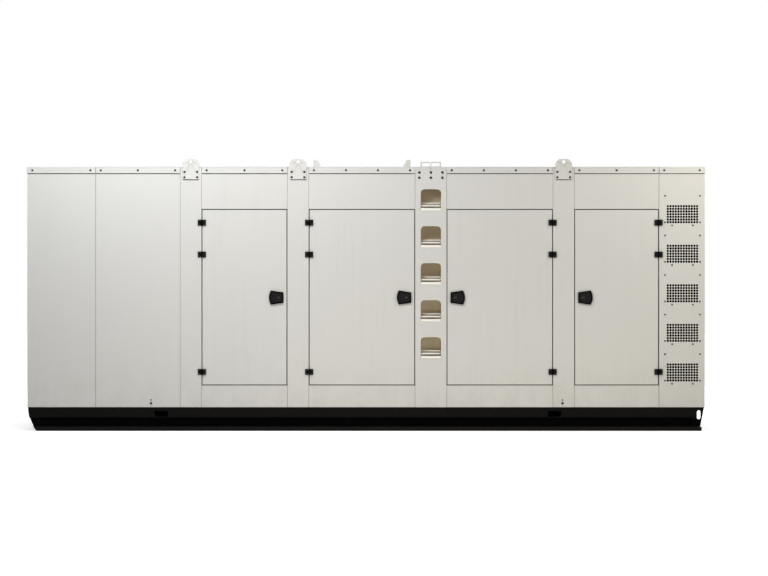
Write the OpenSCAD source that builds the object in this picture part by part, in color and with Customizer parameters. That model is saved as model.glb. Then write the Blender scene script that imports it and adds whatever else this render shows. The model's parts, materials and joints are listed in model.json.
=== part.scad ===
// Diesel generator set in a bolted sheet-steel sound enclosure on a skid base.
// Millimetres. +X runs along the set, -Y is the door side with the ladder, +Z is up.
// The origin is on the ground, at the middle of the set.

/* [Bays along the set] */
// Width of the end blank panel
blank_1_w = 605; // [450:1:800]
// Width of the inner blank panel
blank_2_w = 749; // [500:1:950]
// Width of the first post
post_1_w = 187; // [160:1:240]
// Width of the first door bay
door_1_w = 760; // [600:1:900]
// Width of the second post
post_2_w = 188; // [160:1:240]
// Width of the second door bay
door_2_w = 942; // [700:1:1000]
// Width of the ladder column
ladder_w = 277; // [260:1:340]
// Width of the third door bay
door_3_w = 942; // [700:1:1000]
// Width of the third post
post_3_w = 187; // [160:1:240]
// Width of the fourth door bay
door_4_w = 750; // [600:1:900]
// Width of the air intake panel
intake_w = 405; // [380:1:520]

/* [Body] */
// Width over the wall faces
body_w = 2100; // [1800:10:2400]
// Top of the roof above the ground
roof_z = 2335; // [2300:5:2600]
// Thickness of the fixed acoustic wall panels
wall_t = 60; // [55:1:80]
// Thickness of folded sheet, and how far the posts stand proud of the walls
sheet_t = 4; // [3:0.5:6]
// Depth of the posts
post_depth = 94; // [90:1:120]
// Open seam between fixed panels
seam = 3; // [2:0.5:5]

/* [Doors] */
// Lower edge of the doors above the base
sill_h = 200; // [150:1:260]
// Height of the fixed panels over the doors
lintel_h = 368; // [320:1:440]
// Thickness of the doors
door_t = 45; // [35:1:50]
// Gap around each door
door_gap = 8; // [7:0.5:12]
// Width of the folded rim on the inner side of a door
door_rim = 40; // [30:1:60]
// Depth of the lining field inside that rim
lining_recess = 6; // [3:1:12]
// Gap between a closed door and its stop bars
seal_gap = 6; // [5:0.5:8]
// Width of the stop bars behind the door edges
seal_w = 33; // [25:1:45]
// Depth of the stop bars
seal_d = 34; // [25:1:36]
// Gap between bars or plates that meet at a corner
bar_joint = 0.5; // [0.3:0.1:1]

/* [Hinges] */
// Height of a hinge
hinge_h = 52; // [40:1:70]
// Width of one hinge leaf from the pin
leaf_w = 36; // [30:1:50]
// Radius of the hinge knuckle
knuckle_r = 8; // [7:0.5:10]
// Radius of the hinge pin
pin_r = 4; // [3:0.5:5]
// Clearance of a pin in its bore
pin_clear = 0.15; // [0.1:0.05:0.3]
// Gap between knuckles
knuckle_gap = 0.5; // [0.3:0.1:1]
// Gap between a leaf and the other leaf's knuckle
leaf_gap = 1.5; // [1:0.5:3]
// How far a leaf stands in front of the pin centre
leaf_front = 1; // [0:0.5:2]
// Centre of the low hinge above the lower edge of the door
hinge_low = 112; // [80:1:200]
// Centre of the middle hinge below the upper edge of the door
hinge_mid_drop = 395; // [340:1:500]
// Centre of the high hinge below the upper edge of the door
hinge_high_drop = 113; // [80:1:200]

/* [Latches] */
// Length of the latch body
latch_len = 128; // [110:1:150]
// Height of the latch at its wide end
latch_wide = 131; // [115:1:150]
// Height of the latch at its narrow end
latch_narrow = 93; // [85:1:105]
// Bulge of the wide end
latch_bulge = 20; // [8:1:24]
// Depth of the latch body
latch_depth = 16; // [16:1:20]
// Width of the rim around the paddle
latch_rim = 8; // [6:1:10]
// Thickness of the floor behind the paddle
latch_floor = 3; // [2:0.5:3]
// Clearance around and behind the paddle
paddle_gap = 5; // [5:0.5:6]
// Radius of the paddle pin
paddle_pin_r = 2.5; // [2:0.1:2.6]
// Distance of the latch from the free edge of the door
latch_edge = 27; // [25:1:60]
// How far the latch sits below the middle of the door
latch_low = 3.5; // [0:0.5:60]

/* [Ladder] */
// Number of steps
step_count = 5; // [3:1:5]
// Width of a step opening
step_w = 180; // [150:1:200]
// Height of a step opening
step_h = 189; // [170:1:210]
// Radius of the top corners of a step opening
step_r = 38; // [20:1:50]
// Plain column above the highest step opening
step_top = 174; // [140:1:220]
// First step above the base
step_first = 431; // [380:1:440]
// Fine joint between the plates of the ladder column
plate_joint = 0.2; // [0.1:0.1:0.5]
// Depth of the well behind the step openings
step_depth = 150; // [140:1:200]
// Side clearance of a tread in its opening
tread_side = 2; // [1:0.5:4]
// Set-back of the tread nose from the column face
tread_back = 18; // [14:1:24]
// Height of the front lip of a tread
tread_lip = 22; // [16:1:24]
// Height of the underside of the tread nose
tread_nose = 36; // [32:1:38]
// Rise of the tread from its nose to the upstand
tread_rise = 12; // [8:1:14]
// Run of the tread from its nose to the upstand
tread_run = 58; // [45:1:70]
// Height of the upstand of a tread
tread_up = 13; // [8:1:15]
// Thickness of the tread nose
tread_nose_t = 12; // [10:1:14]

/* [Air intake] */
// Diameter of the round perforations
hole_d = 21; // [12:0.5:21.5]
// Pitch of the perforations
hole_pitch = 23.5; // [22:0.5:26]
// Perforations along a field
hole_cols = 12; // [8:1:12]
// Perforations up a field
hole_rows = 7; // [5:1:7]
// Shift of the fields from the middle of the panel towards the end
field_shift = 5; // [0:1:12]
// Number of perforated fields
field_count = 5; // [3:1:5]
// Centre of the highest field below the roof plate
field_top = 414; // [380:1:460]
// Centre of the lowest field above the base
field_first = 307; // [280:1:320]
// Width of the hood behind a field
hood_w = 340; // [320:1:350]
// Gap between the hoods, one above the other
hood_gap = 95; // [80:1:110]
// Depth of the hood behind a field
hood_d = 54; // [40:1:54]
// Height of the hood below the field centre
hood_drop = 105; // [100:1:115]
// Sheet of the hoods
hood_t = 3; // [2:0.5:4]

/* [Roof] */
// Height of the roof flange
flange_h = 57; // [50:1:80]
// Height of the roof flange over the ladder
ladder_flange_h = 23; // [15:1:30]
// Height of the gasket strip under the roof flange
gasket_h = 6; // [5:1:12]
// Thickness of the gasket strip
gasket_t = 3; // [2:0.5:4]
// Width and height of the roof beams
beam = 60; // [50:1:80]
// Thickness of the roof lining
lining_t = 50; // [40:1:60]
// Clear strip between roof lining and wall faces
lining_edge = 200; // [190:1:300]
// Clear strip between roof lining and beams
lining_side = 8; // [5:1:20]

/* [Lifting gear] */
// Width of a lifting lug
lug_w = 148; // [120:1:150]
// Reach of a lifting lug below the roof
lug_drop = 111; // [90:1:130]
// Rise of a lifting lug above the roof
lug_rise = 70; // [64:1:90]
// Thickness of a lifting lug
lug_t = 12; // [10:1:16]
// Chamfer of the top corners of a lug
lug_chamfer = 34; // [20:1:45]
// Radius of a lifting eye
eye_r = 15; // [12:0.5:16]
// Height of a lifting eye above the roof
eye_rise = 45; // [40:1:46]
// Length of the grab rail
grab_w = 180; // [150:1:240]
// Height of the grab rail above the roof
grab_rise = 41; // [38:1:80]
// Radius of the grab rail
grab_r = 6; // [5:0.5:8]
// Thickness of the foot strip of the grab rail
grab_foot = 5; // [4:1:8]
// Depth of that foot strip
grab_foot_d = 40; // [30:1:50]
// Distance of the grab rail from the wall face
grab_back = 30; // [26:1:60]
// Width of a roof bracket at its foot
bracket_w = 70; // [50:1:90]
// Width of a roof bracket at its top
bracket_top = 34; // [20:1:45]
// Height of a roof bracket
bracket_h = 66; // [50:1:80]
// Thickness of a roof bracket
bracket_t = 10; // [8:1:14]
// Distance of the roof brackets from the door seams
bracket_in = 40; // [30:1:80]
// Distance of the roof brackets from the wall face
bracket_back = 60; // [40:1:200]

/* [Base] */
// Height of the base rails
base_h = 210; // [190:1:240]
// Depth of the base rails
rail_d = 86; // [80:1:100]
// Set-back of the rails from the wall face
rail_set = 4; // [2:1:8]
// Height of the band at the top of a rail
band_h = 90; // [80:1:92]
// Height of the foot of a rail
foot_h = 35; // [30:1:45]
// Set-back of the web between band and foot
web_set = 36; // [25:1:45]
// Rise of the slopes above and below the web
web_slope = 16; // [10:1:20]
// Thickness of the upright ribs
rib_t = 10; // [8:1:14]
// Ribs beside the posts and the ladder, from the middle of each
rib_offsets = [-305, -326, -97, -27];
// Length of the end plate with the towing slot
nose_l = 110; // [100:1:130]
// Thickness of that end plate
nose_t = 24; // [18:1:30]
// Slope of the rail end with the slot
nose_slope = 35; // [20:1:40]
// Foot beyond that slope
nose_foot = 14; // [5:1:20]
// Radius of the other, rounded rail end
heel_r = 338; // [300:1:400]
// End gap between the rails and the wall ends
rail_end = 6; // [2:1:10]
// Width of a towing slot
slot_w = 35; // [28:1:38]
// Height of a towing slot
slot_h = 80; // [70:1:90]
// Distance of a towing slot from the wall end
slot_in = 52; // [50:1:58]
// Height of a towing slot
slot_z = 142; // [130:1:150]
// Width of a lifting pocket
pocket_w = 120; // [100:1:140]
// Height of a lifting pocket
pocket_h = 55; // [45:1:60]
// Lower edge of the lifting pockets
pocket_z = 125; // [122:1:128]
// Distance of the first pocket from the first post
pocket_1_off = 265; // [200:1:300]
// Distance of the second pocket from the third post
pocket_2_off = 80; // [60:1:100]
// Wall of the tubes between the pockets
tube_t = 8; // [6:1:10]
// Width of a cross beam
cross_w = 80; // [60:1:100]
// Height of a cross beam
cross_h = 100; // [80:1:120]
// Distance of the outer cross beams from the rail ends
cross_end = 60; // [40:1:100]
// Thickness of the deck plate
deck_t = 6; // [5:1:10]

/* [Hidden] */
$fn = 48;
CUT = 1;
BAYS = [blank_1_w, blank_2_w, post_1_w, door_1_w, post_2_w, door_2_w,
        ladder_w, door_3_w, post_3_w, door_4_w, intake_w];
BAY_NAMES = ["blank_1", "blank_2", "post_1", "door_1", "post_2", "door_2",
             "ladder", "door_3", "post_3", "door_4", "intake"];
function bay(name) = [for (i = [0 : len(BAY_NAMES) - 1]) if (BAY_NAMES[i] == name) i][0];
BLANK_1 = bay("blank_1");
BLANK_2 = bay("blank_2");
LADDER = bay("ladder");
INTAKE = bay("intake");
POSTS = [bay("post_1"), bay("post_2"), bay("post_3")];
DOORS = [bay("door_1"), bay("door_2"), bay("door_3"), bay("door_4")];
function total(v, n) = n < 1 ? 0 : v[n - 1] + total(v, n - 1);
body_l = total(BAYS, len(BAYS));
function st(i) = total(BAYS, i) - body_l / 2;
function mid(i) = (st(i) + st(i + 1)) / 2;
function left_hung(i) = i < LADDER;
face_y = -body_w / 2;
post_y = face_y - sheet_t;
wall_in = face_y + wall_t;
post_in = post_y + post_depth;
plate_z = roof_z - sheet_t;
flange_z = roof_z - flange_h;
door_z = base_h + sill_h;
door_top = plate_z - lintel_h - door_gap;
door_h = door_top - door_z;
latch_z = door_h / 2 - latch_low;
ladder_top = roof_z - ladder_flange_h;
step_pitch = (ladder_top - base_h - step_first - step_h - step_top) / (step_count - 1);
field_pitch = (plate_z - base_h - field_first - field_top) / (field_count - 1);
hood_h = field_pitch - hood_gap;
lining_w = body_w - 2 * lining_edge;
seal_y = face_y + door_t + seal_gap;
hinge_y = post_y - knuckle_r;
ladder_in = face_y + step_depth;
rail_y = face_y + rail_set;
rail_in = rail_y + rail_d;
web_y = rail_y + web_set;
nose_x = body_l / 2 - nose_l;
ROOF_JOINTS = [st(BLANK_2), mid(POSTS[0]), mid(POSTS[1]), mid(LADDER), mid(POSTS[2]), st(INTAKE)];
ROOF_LINES = concat([-body_l / 2 - sheet_t - seam / 2], ROOF_JOINTS,
                    [body_l / 2 + sheet_t + seam / 2]);
RIB_LINES = [mid(POSTS[0]) + rib_offsets[0], mid(POSTS[1]) + rib_offsets[1],
             mid(LADDER) + rib_offsets[2], mid(POSTS[2]) + rib_offsets[3], nose_x - rib_t / 2];
POCKETS = [mid(POSTS[0]) - pocket_1_off, mid(POSTS[2]) - pocket_2_off];
cross_room = cross_end + cross_w / 2;
CROSS_LINES = concat([cross_room - body_l / 2], [for (i = DOORS) mid(i)], [nose_x - cross_room]);
bulge_r = (latch_wide * latch_wide / 4 + latch_bulge * latch_bulge) / (2 * latch_bulge);
paddle_t = latch_depth - latch_floor - paddle_gap;
paddle_w = latch_floor + paddle_gap + paddle_t / 2;
paddle_u = latch_rim + paddle_gap + paddle_t / 2;
function latch_half(u) = (latch_narrow + (latch_wide - latch_narrow) * u / latch_len) / 2;
function free_edge(i) = left_hung(i) ? st(i + 1) - door_gap : st(i) + door_gap;
function hinge_x(i) = left_hung(i) ? st(i) + door_gap / 2 : st(i + 1) - door_gap / 2;
HINGES = [hinge_low, door_h - hinge_mid_drop, door_h - hinge_high_drop];

PAINT = [0.83, 0.82, 0.78];
BLACK = [0.08, 0.08, 0.08];
DARK = [0.2, 0.19, 0.18];
STEEL = [0.6, 0.6, 0.6];

// A box between two corners
module slab(x0, x1, y0, y1, z0, z1) {
    translate([x0, y0, z0]) cube([x1 - x0, y1 - y0, z1 - z0]);
}

// The same piece on the far side
module far_side() {
    mirror([0, 1, 0]) children();
}

// A flat outline in X and Z, given its thickness from a front face at y
module upright(y, t) {
    translate([0, y + t, 0]) rotate([90, 0, 0]) linear_extrude(t) children();
}

// A profile in Y and Z, run along X
module run_x(x0, x1) {
    translate([x0, 0, 0]) rotate([90, 0, 90]) linear_extrude(x1 - x0) children();
}

module panel(i, z0, z1) {
    slab(st(i) + seam / 2, st(i + 1) - seam / 2, face_y, wall_in, z0, z1);
}

module blank_panels() {
    slab(-body_l / 2, st(BLANK_2) - seam / 2, face_y, wall_in, base_h, plate_z);
    panel(BLANK_2, base_h, plate_z);
}

module post(i) {
    translate([0, 0, base_h]) linear_extrude(plate_z - base_h) difference() {
        translate([st(i), post_y]) square([BAYS[i], post_depth]);
        translate([st(i) + sheet_t, post_y + sheet_t])
            square([BAYS[i] - 2 * sheet_t, post_depth - 2 * sheet_t]);
    }
}

module lintels() {
    for (i = DOORS) panel(i, door_top + door_gap, plate_z);
}

module sills() {
    for (i = DOORS) panel(i, base_h, door_z - door_gap);
}

module door(i) {
    difference() {
        slab(st(i) + door_gap, st(i + 1) - door_gap, face_y, face_y + door_t, door_z, door_top);
        slab(st(i) + door_gap + door_rim, st(i + 1) - door_gap - door_rim,
             face_y + door_t - lining_recess, face_y + door_t + CUT,
             door_z + door_rim, door_top - door_rim);
    }
}

// Stop bars behind the edges of one door, starting the given distance from the wall face
module stop_bars(i, y) {
    low = door_z - door_gap;
    high = door_top + door_gap;
    slab(st(i), st(i) + seal_w, y, y + seal_d, low, high);
    slab(st(i + 1) - seal_w, st(i + 1), y, y + seal_d, low, high);
    x0 = st(i) + seal_w + bar_joint;
    x1 = st(i + 1) - seal_w - bar_joint;
    slab(x0, x1, y, y + seal_d, low, low + seal_w);
    slab(x0, x1, y, y + seal_d, high - seal_w, high);
}

// Places one hinge with the pin at the origin and the door towards +X
module at_hinge(i, z) {
    translate([hinge_x(i), hinge_y, door_z + z - hinge_h / 2])
        mirror([left_hung(i) ? 0 : 1, 0, 0]) children();
}

// The frame leaf reaches back to a post face, or the given distance further
module frame_leaf(deeper) {
    low = hinge_h / 3 + knuckle_gap / 2;
    high = 2 * hinge_h / 3 - knuckle_gap / 2;
    slab(-leaf_w, -knuckle_r - leaf_gap, -leaf_front, knuckle_r + deeper, 0, hinge_h);
    slab(-knuckle_r - leaf_gap, 0, -leaf_front, knuckle_r - leaf_gap, low, high);
    translate([0, 0, low]) cylinder(r = knuckle_r, h = high - low);
    translate([0, 0, CUT]) cylinder(r = pin_r, h = hinge_h - 2 * CUT);
}

module door_leaf() {
    step = hinge_h / 3 - knuckle_gap / 2;
    difference() {
        union() {
            slab(knuckle_r + leaf_gap, leaf_w, -leaf_front, knuckle_r + sheet_t, 0, hinge_h);
            for (z = [0, hinge_h - step]) {
                slab(0, knuckle_r + leaf_gap, -leaf_front, knuckle_r - leaf_gap, z, z + step);
                translate([0, 0, z]) cylinder(r = knuckle_r, h = step);
            }
        }
        translate([0, 0, -CUT]) cylinder(r = pin_r + pin_clear, h = hinge_h + 2 * CUT);
    }
}

module frame_leaves(i) {
    on_panel = i + 1 == INTAKE;
    for (z = HINGES) at_hinge(i, z) frame_leaf(on_panel ? sheet_t : 0);
}

module door_leaves(i) {
    for (z = HINGES) at_hinge(i, z) door_leaf();
}

// Places a latch: local X runs from the free edge, local Z out of the door
module at_latch(i) {
    inward = left_hung(i) ? -latch_edge : latch_edge;
    translate([free_edge(i) + inward, face_y, door_z + latch_z])
        mirror([left_hung(i) ? 1 : 0, 0, 0]) rotate([90, 0, 0]) children();
}

module latch_outline(inset) {
    far = latch_len - inset;
    near_half = latch_half(inset) - inset;
    far_half = latch_half(far) - inset;
    intersection() {
        polygon([[inset, -near_half], [far, -far_half], [far, far_half], [inset, near_half]]);
        translate([latch_len - bulge_r, 0]) circle(r = bulge_r - inset, $fn = 96);
    }
}

module paddle_axis(r, reach) {
    translate([paddle_u, -reach, paddle_w]) rotate([-90, 0, 0]) cylinder(r = r, h = 2 * reach);
}

module latch_body() {
    difference() {
        linear_extrude(latch_depth) latch_outline(0);
        translate([0, 0, latch_floor]) linear_extrude(latch_depth) latch_outline(latch_rim);
    }
    paddle_axis(paddle_pin_r, latch_half(paddle_u) - latch_rim / 2);
}

module paddle() {
    difference() {
        translate([0, 0, latch_floor + paddle_gap])
            linear_extrude(paddle_t) latch_outline(latch_rim + paddle_gap);
        paddle_axis(paddle_pin_r + pin_clear, latch_wide);
    }
}

module fittings(i) {
    color(BLACK) door_leaves(i);
    color(BLACK) at_latch(i) latch_body();
}

module step_window(z) {
    x = mid(LADDER);
    r = step_r;
    translate([x - step_w / 2, z]) square([step_w, step_h - r]);
    translate([x - step_w / 2 + r, z]) square([step_w - 2 * r, step_h]);
    for (s = [-1, 1]) translate([x + s * (step_w / 2 - r), z + step_h - r]) circle(r = r);
}

function step_z(k) = base_h + step_first + k * step_pitch;

// Plate between two step openings, or below the first or above the last
module cross_plate(k) {
    low = k == 0 ? base_h : step_z(k - 1) + step_h - step_r;
    high = k == step_count ? ladder_top : step_z(k);
    half = step_w / 2 - plate_joint;
    upright(post_y, sheet_t) difference() {
        translate([mid(LADDER) - half, low]) square([2 * half, high - low]);
        if (k > 0) step_window(step_z(k - 1));
    }
}

// Two side strips with the plates between them
module ladder_column() {
    strip = (ladder_w - step_w) / 2;
    color(PAINT) {
        for (x = [st(LADDER), st(LADDER + 1) - strip])
            slab(x, x + strip, post_y, face_y, base_h, ladder_top);
        for (k = [0 : step_count]) cross_plate(k);
    }
}

// Two side plates and a back plate behind the ladder column
module ladder_well() {
    top = ladder_top;
    x0 = st(LADDER);
    x1 = st(LADDER + 1);
    color(PAINT) {
        slab(x0, x0 + sheet_t, face_y, ladder_in - bar_joint, base_h, top);
        slab(x1 - sheet_t, x1, face_y, ladder_in - bar_joint, base_h, top);
        slab(x0, x1, ladder_in, ladder_in + sheet_t, base_h, top);
    }
}

// Folded tread: front lip, open groove, nose, rising tread, upstand and flat rear part
module tread(z) {
    t = sheet_t;
    back = ladder_in;
    nose = post_y + tread_back;
    up = nose + tread_run;
    top = tread_nose + tread_nose_t;
    run = top + tread_rise;
    flat = run + tread_up;
    half = step_w / 2 - tread_side;
    translate([0, 0, z]) run_x(mid(LADDER) - half, mid(LADDER) + half) polygon([
        [post_y - t, 0], [back, 0], [back, flat], [up, flat], [up, run], [nose, top],
        [nose, tread_nose], [nose + t, tread_nose], [up + t, run - tread_nose_t], [up + t, flat - t],
        [back - t, flat - t], [back - t, t], [post_y + t, t], [post_y + t, tread_lip],
        [post_y - t / 2, tread_lip], [post_y - t, tread_lip - t / 2]]);
}

module step_treads() {
    color(PAINT) for (k = [0 : step_count - 1]) tread(step_z(k));
}

module hole_field(x, z) {
    for (c = [0 : hole_cols - 1], r = [0 : hole_rows - 1])
        translate([x + (c - (hole_cols - 1) / 2) * hole_pitch,
                   z + (r - (hole_rows - 1) / 2) * hole_pitch]) circle(d = hole_d);
}

function field_z(k) = base_h + field_first + k * field_pitch;

module intake_panel() {
    x0 = st(INTAKE) + seam / 2;
    x1 = body_l / 2;
    t = sheet_t;
    upright(face_y, t) difference() {
        translate([x0, base_h]) square([x1 - x0, plate_z - base_h]);
        for (k = [0 : field_count - 1]) hole_field(mid(INTAKE) + field_shift, field_z(k));
    }
    difference() {
        slab(x0, x1, face_y + t, wall_in, base_h, plate_z);
        slab(x0 + t, x1 - t, face_y + t - CUT, wall_in + CUT, base_h + t, plate_z - t);
    }
}

// Hoods that turn the air down behind each field, open below
module intake_hoods() {
    x = mid(INTAKE) + field_shift;
    t = hood_t;
    y = face_y + sheet_t;
    for (k = [0 : field_count - 1]) difference() {
        z = field_z(k) - hood_drop;
        slab(x - hood_w / 2, x + hood_w / 2, y, y + hood_d, z, z + hood_h);
        slab(x - hood_w / 2 + t, x + hood_w / 2 - t, y - CUT, y + hood_d - t, z - CUT, z + hood_h - t);
    }
}

// Three flat panels across one end, given their outer face and direction inwards
module end_wall(x, inward) {
    reach = wall_in + seam / 2;
    w = -2 * reach / 3;
    for (k = [0 : 2])
        slab(min(x, x + inward * wall_t), max(x, x + inward * wall_t),
             reach + k * w + seam / 2, reach + (k + 1) * w - seam / 2, base_h, plate_z);
}

// Flange of one roof length, cut out over the posts and above the given top of the ladder bay
module roof_flanges(x0, x1, bay_top) {
    difference() {
        slab(x0, x1, post_y, face_y, flange_z, roof_z);
        for (i = POSTS) slab(st(i) - seam, st(i + 1) + seam, post_y - CUT, face_y + CUT, 0, plate_z);
        slab(st(LADDER) - seam, st(LADDER + 1) + seam, post_y - CUT, face_y + CUT,
             0, bay_top);
    }
}

module roof_panels() {
    color(PAINT) for (k = [0 : len(ROOF_LINES) - 2]) {
        x0 = ROOF_LINES[k] + seam / 2;
        x1 = ROOF_LINES[k + 1] - seam / 2;
        slab(x0, x1, post_y, -post_y, plate_z, roof_z);
        roof_flanges(x0, x1, ladder_top);
        far_side() roof_flanges(x0, x1, plate_z);
        if (k == 0) slab(x0, x0 + sheet_t, post_y, -post_y, flange_z, roof_z);
        if (k == len(ROOF_LINES) - 2) slab(x1 - sheet_t, x1, post_y, -post_y, flange_z, roof_z);
    }
}

module gasket_row() {
    for (i = concat([BLANK_1, BLANK_2], DOORS, [INTAKE]))
        slab(st(i) + seam, st(i + 1) - seam, face_y - gasket_t, face_y, flange_z - gasket_h, flange_z);
}

module roof_gaskets() {
    color(BLACK) gasket_row();
    color(BLACK) far_side() gasket_row();
}

module roof_beam(x, y0, y1) {
    slab(x - beam / 2, x + beam / 2, y0, y1, plate_z - beam, plate_z);
}

module roof_beams() {
    color(STEEL) for (x = [st(BLANK_2), st(INTAKE)]) roof_beam(x, wall_in, -wall_in);
    color(STEEL) for (i = POSTS) roof_beam(mid(i), post_in, -post_in);
    color(STEEL) roof_beam(mid(LADDER), ladder_in + sheet_t, -post_in);
}

module roof_lining() {
    lines = concat([-body_l / 2 + wall_t], ROOF_JOINTS, [body_l / 2 - wall_t]);
    side = beam / 2 + lining_side;
    color(DARK) for (k = [0 : len(lines) - 2])
        slab(lines[k] + side, lines[k + 1] - side, -lining_w / 2, lining_w / 2,
             plate_z - lining_t, plate_z);
}

module lug(i) {
    half = lug_w / 2;
    low = roof_z - lug_drop;
    high = roof_z + lug_rise;
    upright(post_y - lug_t, lug_t) difference() {
        translate([mid(i), 0]) polygon([
            [-half, low], [half, low], [half, roof_z + lug_rise - lug_chamfer],
            [half - lug_chamfer, high], [lug_chamfer - half, high],
            [-half, roof_z + lug_rise - lug_chamfer]]);
        translate([mid(i), roof_z + eye_rise]) circle(r = eye_r);
    }
}

module lifting_lugs() {
    color(PAINT) for (i = POSTS) {
        lug(i);
        far_side() lug(i);
    }
}

module grab_rail() {
    x = mid(LADDER);
    y = face_y + grab_back;
    z = roof_z + grab_rise;
    color(PAINT) {
        slab(x - grab_w / 2 - grab_r, x + grab_w / 2 + grab_r, y - grab_foot_d / 2, y + grab_foot_d / 2,
             roof_z, roof_z + grab_foot);
        for (s = [-1, 0, 1])
            translate([x + s * (grab_w / 2 - grab_r), y, roof_z]) cylinder(r = grab_r, h = grab_rise);
        translate([x - grab_w / 2, y, z]) rotate([0, 90, 0]) cylinder(r = grab_r, h = grab_w);
    }
}

module roof_brackets() {
    i = DOORS[1];
    y = face_y + bracket_back;
    color(PAINT) for (s = [0, 1]) {
        edge = s == 0 ? st(i) + bracket_in : st(i + 1) - bracket_in;
        way = s == 0 ? 1 : -1;
        upright(y, bracket_t) polygon([[edge, roof_z], [edge, roof_z + bracket_h],
            [edge + way * bracket_top, roof_z + bracket_h], [edge + way * bracket_w, roof_z]]);
    }
}

module rail_profile() {
    polygon([[rail_in, 0], [rail_in, base_h], [rail_y, base_h], [rail_y, base_h - band_h],
             [web_y, base_h - band_h - web_slope], [web_y, foot_h + web_slope],
             [rail_y, foot_h], [rail_y, 0]]);
}

module rail() {
    end = body_l / 2 - rail_end;
    far = body_l;
    difference() {
        union() {
            run_x(-end, end) rail_profile();
            for (x = RIB_LINES) slab(x - rib_t / 2, x + rib_t / 2, rail_y, rail_in, 0, base_h);
            slab(nose_x, end, rail_y, rail_in, 0, base_h);
        }
        difference() {
            slab(-far, heel_r - end, face_y, rail_in + CUT, -CUT, base_h + CUT);
            translate([heel_r - end, face_y - CUT, base_h]) rotate([-90, 0, 0])
                cylinder(r = heel_r, h = rail_d + 4 * sheet_t, $fn = 96);
        }
        upright(face_y, rail_d + 2 * rail_set) polygon([
            [end, base_h + CUT], [end, base_h], [end - nose_slope, foot_h],
            [end - nose_slope + nose_foot, foot_h], [end - nose_slope + nose_foot, -CUT],
            [far, -CUT], [far, base_h + CUT]]);
        slab(nose_x, far, rail_y + nose_t, rail_in + CUT, -CUT, base_h - deck_t);
        upright(face_y, rail_d + 2 * rail_set) towing_slot();
        for (x = POCKETS)
            slab(x - pocket_w / 2, x + pocket_w / 2, face_y, rail_in + CUT, pocket_z, pocket_z + pocket_h);
    }
}

module towing_slot() {
    x = body_l / 2 - slot_in;
    straight = slot_h - slot_w;
    translate([x - slot_w / 2, slot_z - straight / 2]) square([slot_w, straight]);
    for (s = [-1, 1]) translate([x, slot_z + s * straight / 2]) circle(d = slot_w);
}

// A rectangular tube across the base
module cross_tube(x, w, h, t, z) {
    difference() {
        slab(x - w / 2, x + w / 2, rail_in, -rail_in, z, z + h);
        slab(x - w / 2 + t, x + w / 2 - t, rail_in - CUT, CUT - rail_in, z + t, z + h - t);
    }
}

module base_cross_beams() {
    z = base_h - deck_t - cross_h;
    color(BLACK) for (x = CROSS_LINES) cross_tube(x, cross_w, cross_h, tube_t, z);
}

module lifting_tubes() {
    w = pocket_w + 2 * tube_t;
    color(BLACK) for (x = POCKETS)
        cross_tube(x, w, pocket_h + 2 * tube_t, tube_t, pocket_z - tube_t);
}

module deck() {
    half = body_l / 2 - rail_end;
    color(BLACK) slab(-half, half, rail_in, -rail_in, base_h - deck_t, base_h);
}

module base_rail_front() { color(BLACK) rail(); }
module base_rail_rear() { color(BLACK) far_side() rail(); }
module front_blank_panels() { color(PAINT) blank_panels(); }
module front_posts() { color(PAINT) for (i = POSTS) post(i); }
module front_lintels() { color(PAINT) lintels(); }
module front_sills() { color(PAINT) sills(); }
module front_intake_panel() { color(PAINT) intake_panel(); }
module front_intake_hoods() { color(DARK) intake_hoods(); }
module door_stops() {
    color(BLACK) for (i = DOORS) {
        stop_bars(i, seal_y);
        far_side() stop_bars(i, seal_y - seal_gap);
    }
}
module hinge_frame_leaves() { color(BLACK) for (i = DOORS) frame_leaves(i); }
module door_1() { color(PAINT) door(DOORS[0]); }
module door_2() { color(PAINT) door(DOORS[1]); }
module door_3() { color(PAINT) door(DOORS[2]); }
module door_4() { color(PAINT) door(DOORS[3]); }
module latch_1_paddle() { color(DARK) at_latch(DOORS[0]) paddle(); }
module latch_2_paddle() { color(DARK) at_latch(DOORS[1]) paddle(); }
module latch_3_paddle() { color(DARK) at_latch(DOORS[2]) paddle(); }
module latch_4_paddle() { color(DARK) at_latch(DOORS[3]) paddle(); }
module rear_blank_panels() { color(PAINT) far_side() blank_panels(); }
module rear_posts() { color(PAINT) far_side() for (i = concat(POSTS, [LADDER])) post(i); }
module rear_lintels() { color(PAINT) far_side() lintels(); }
module rear_sills() { color(PAINT) far_side() sills(); }
module rear_intake_panel() { color(PAINT) far_side() intake_panel(); }
module rear_intake_hoods() { color(DARK) far_side() intake_hoods(); }
module rear_doors() { color(PAINT) far_side() for (i = DOORS) door(i); }
module rear_fittings() {
    far_side() for (i = DOORS) {
        fittings(i);
        color(BLACK) frame_leaves(i);
        color(DARK) at_latch(i) paddle();
    }
}
module left_end_wall() { color(PAINT) end_wall(-body_l / 2, 1); }
module right_end_wall() { color(PAINT) end_wall(body_l / 2, -1); }

base_rail_front();
base_rail_rear();
base_cross_beams();
lifting_tubes();
deck();
front_blank_panels();
front_posts();
ladder_column();
ladder_well();
step_treads();
front_lintels();
front_sills();
front_intake_panel();
front_intake_hoods();
door_stops();
hinge_frame_leaves();
door_1();
door_2();
door_3();
door_4();
fittings(DOORS[0]);  // door_1_fittings
fittings(DOORS[1]);  // door_2_fittings
fittings(DOORS[2]);  // door_3_fittings
fittings(DOORS[3]);  // door_4_fittings
latch_1_paddle();
latch_2_paddle();
latch_3_paddle();
latch_4_paddle();
rear_blank_panels();
rear_posts();
rear_lintels();
rear_sills();
rear_intake_panel();
rear_intake_hoods();
rear_doors();
rear_fittings();
left_end_wall();
right_end_wall();
roof_panels();
roof_gaskets();
roof_beams();
roof_lining();
lifting_lugs();
grab_rail();
roof_brackets();
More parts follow.
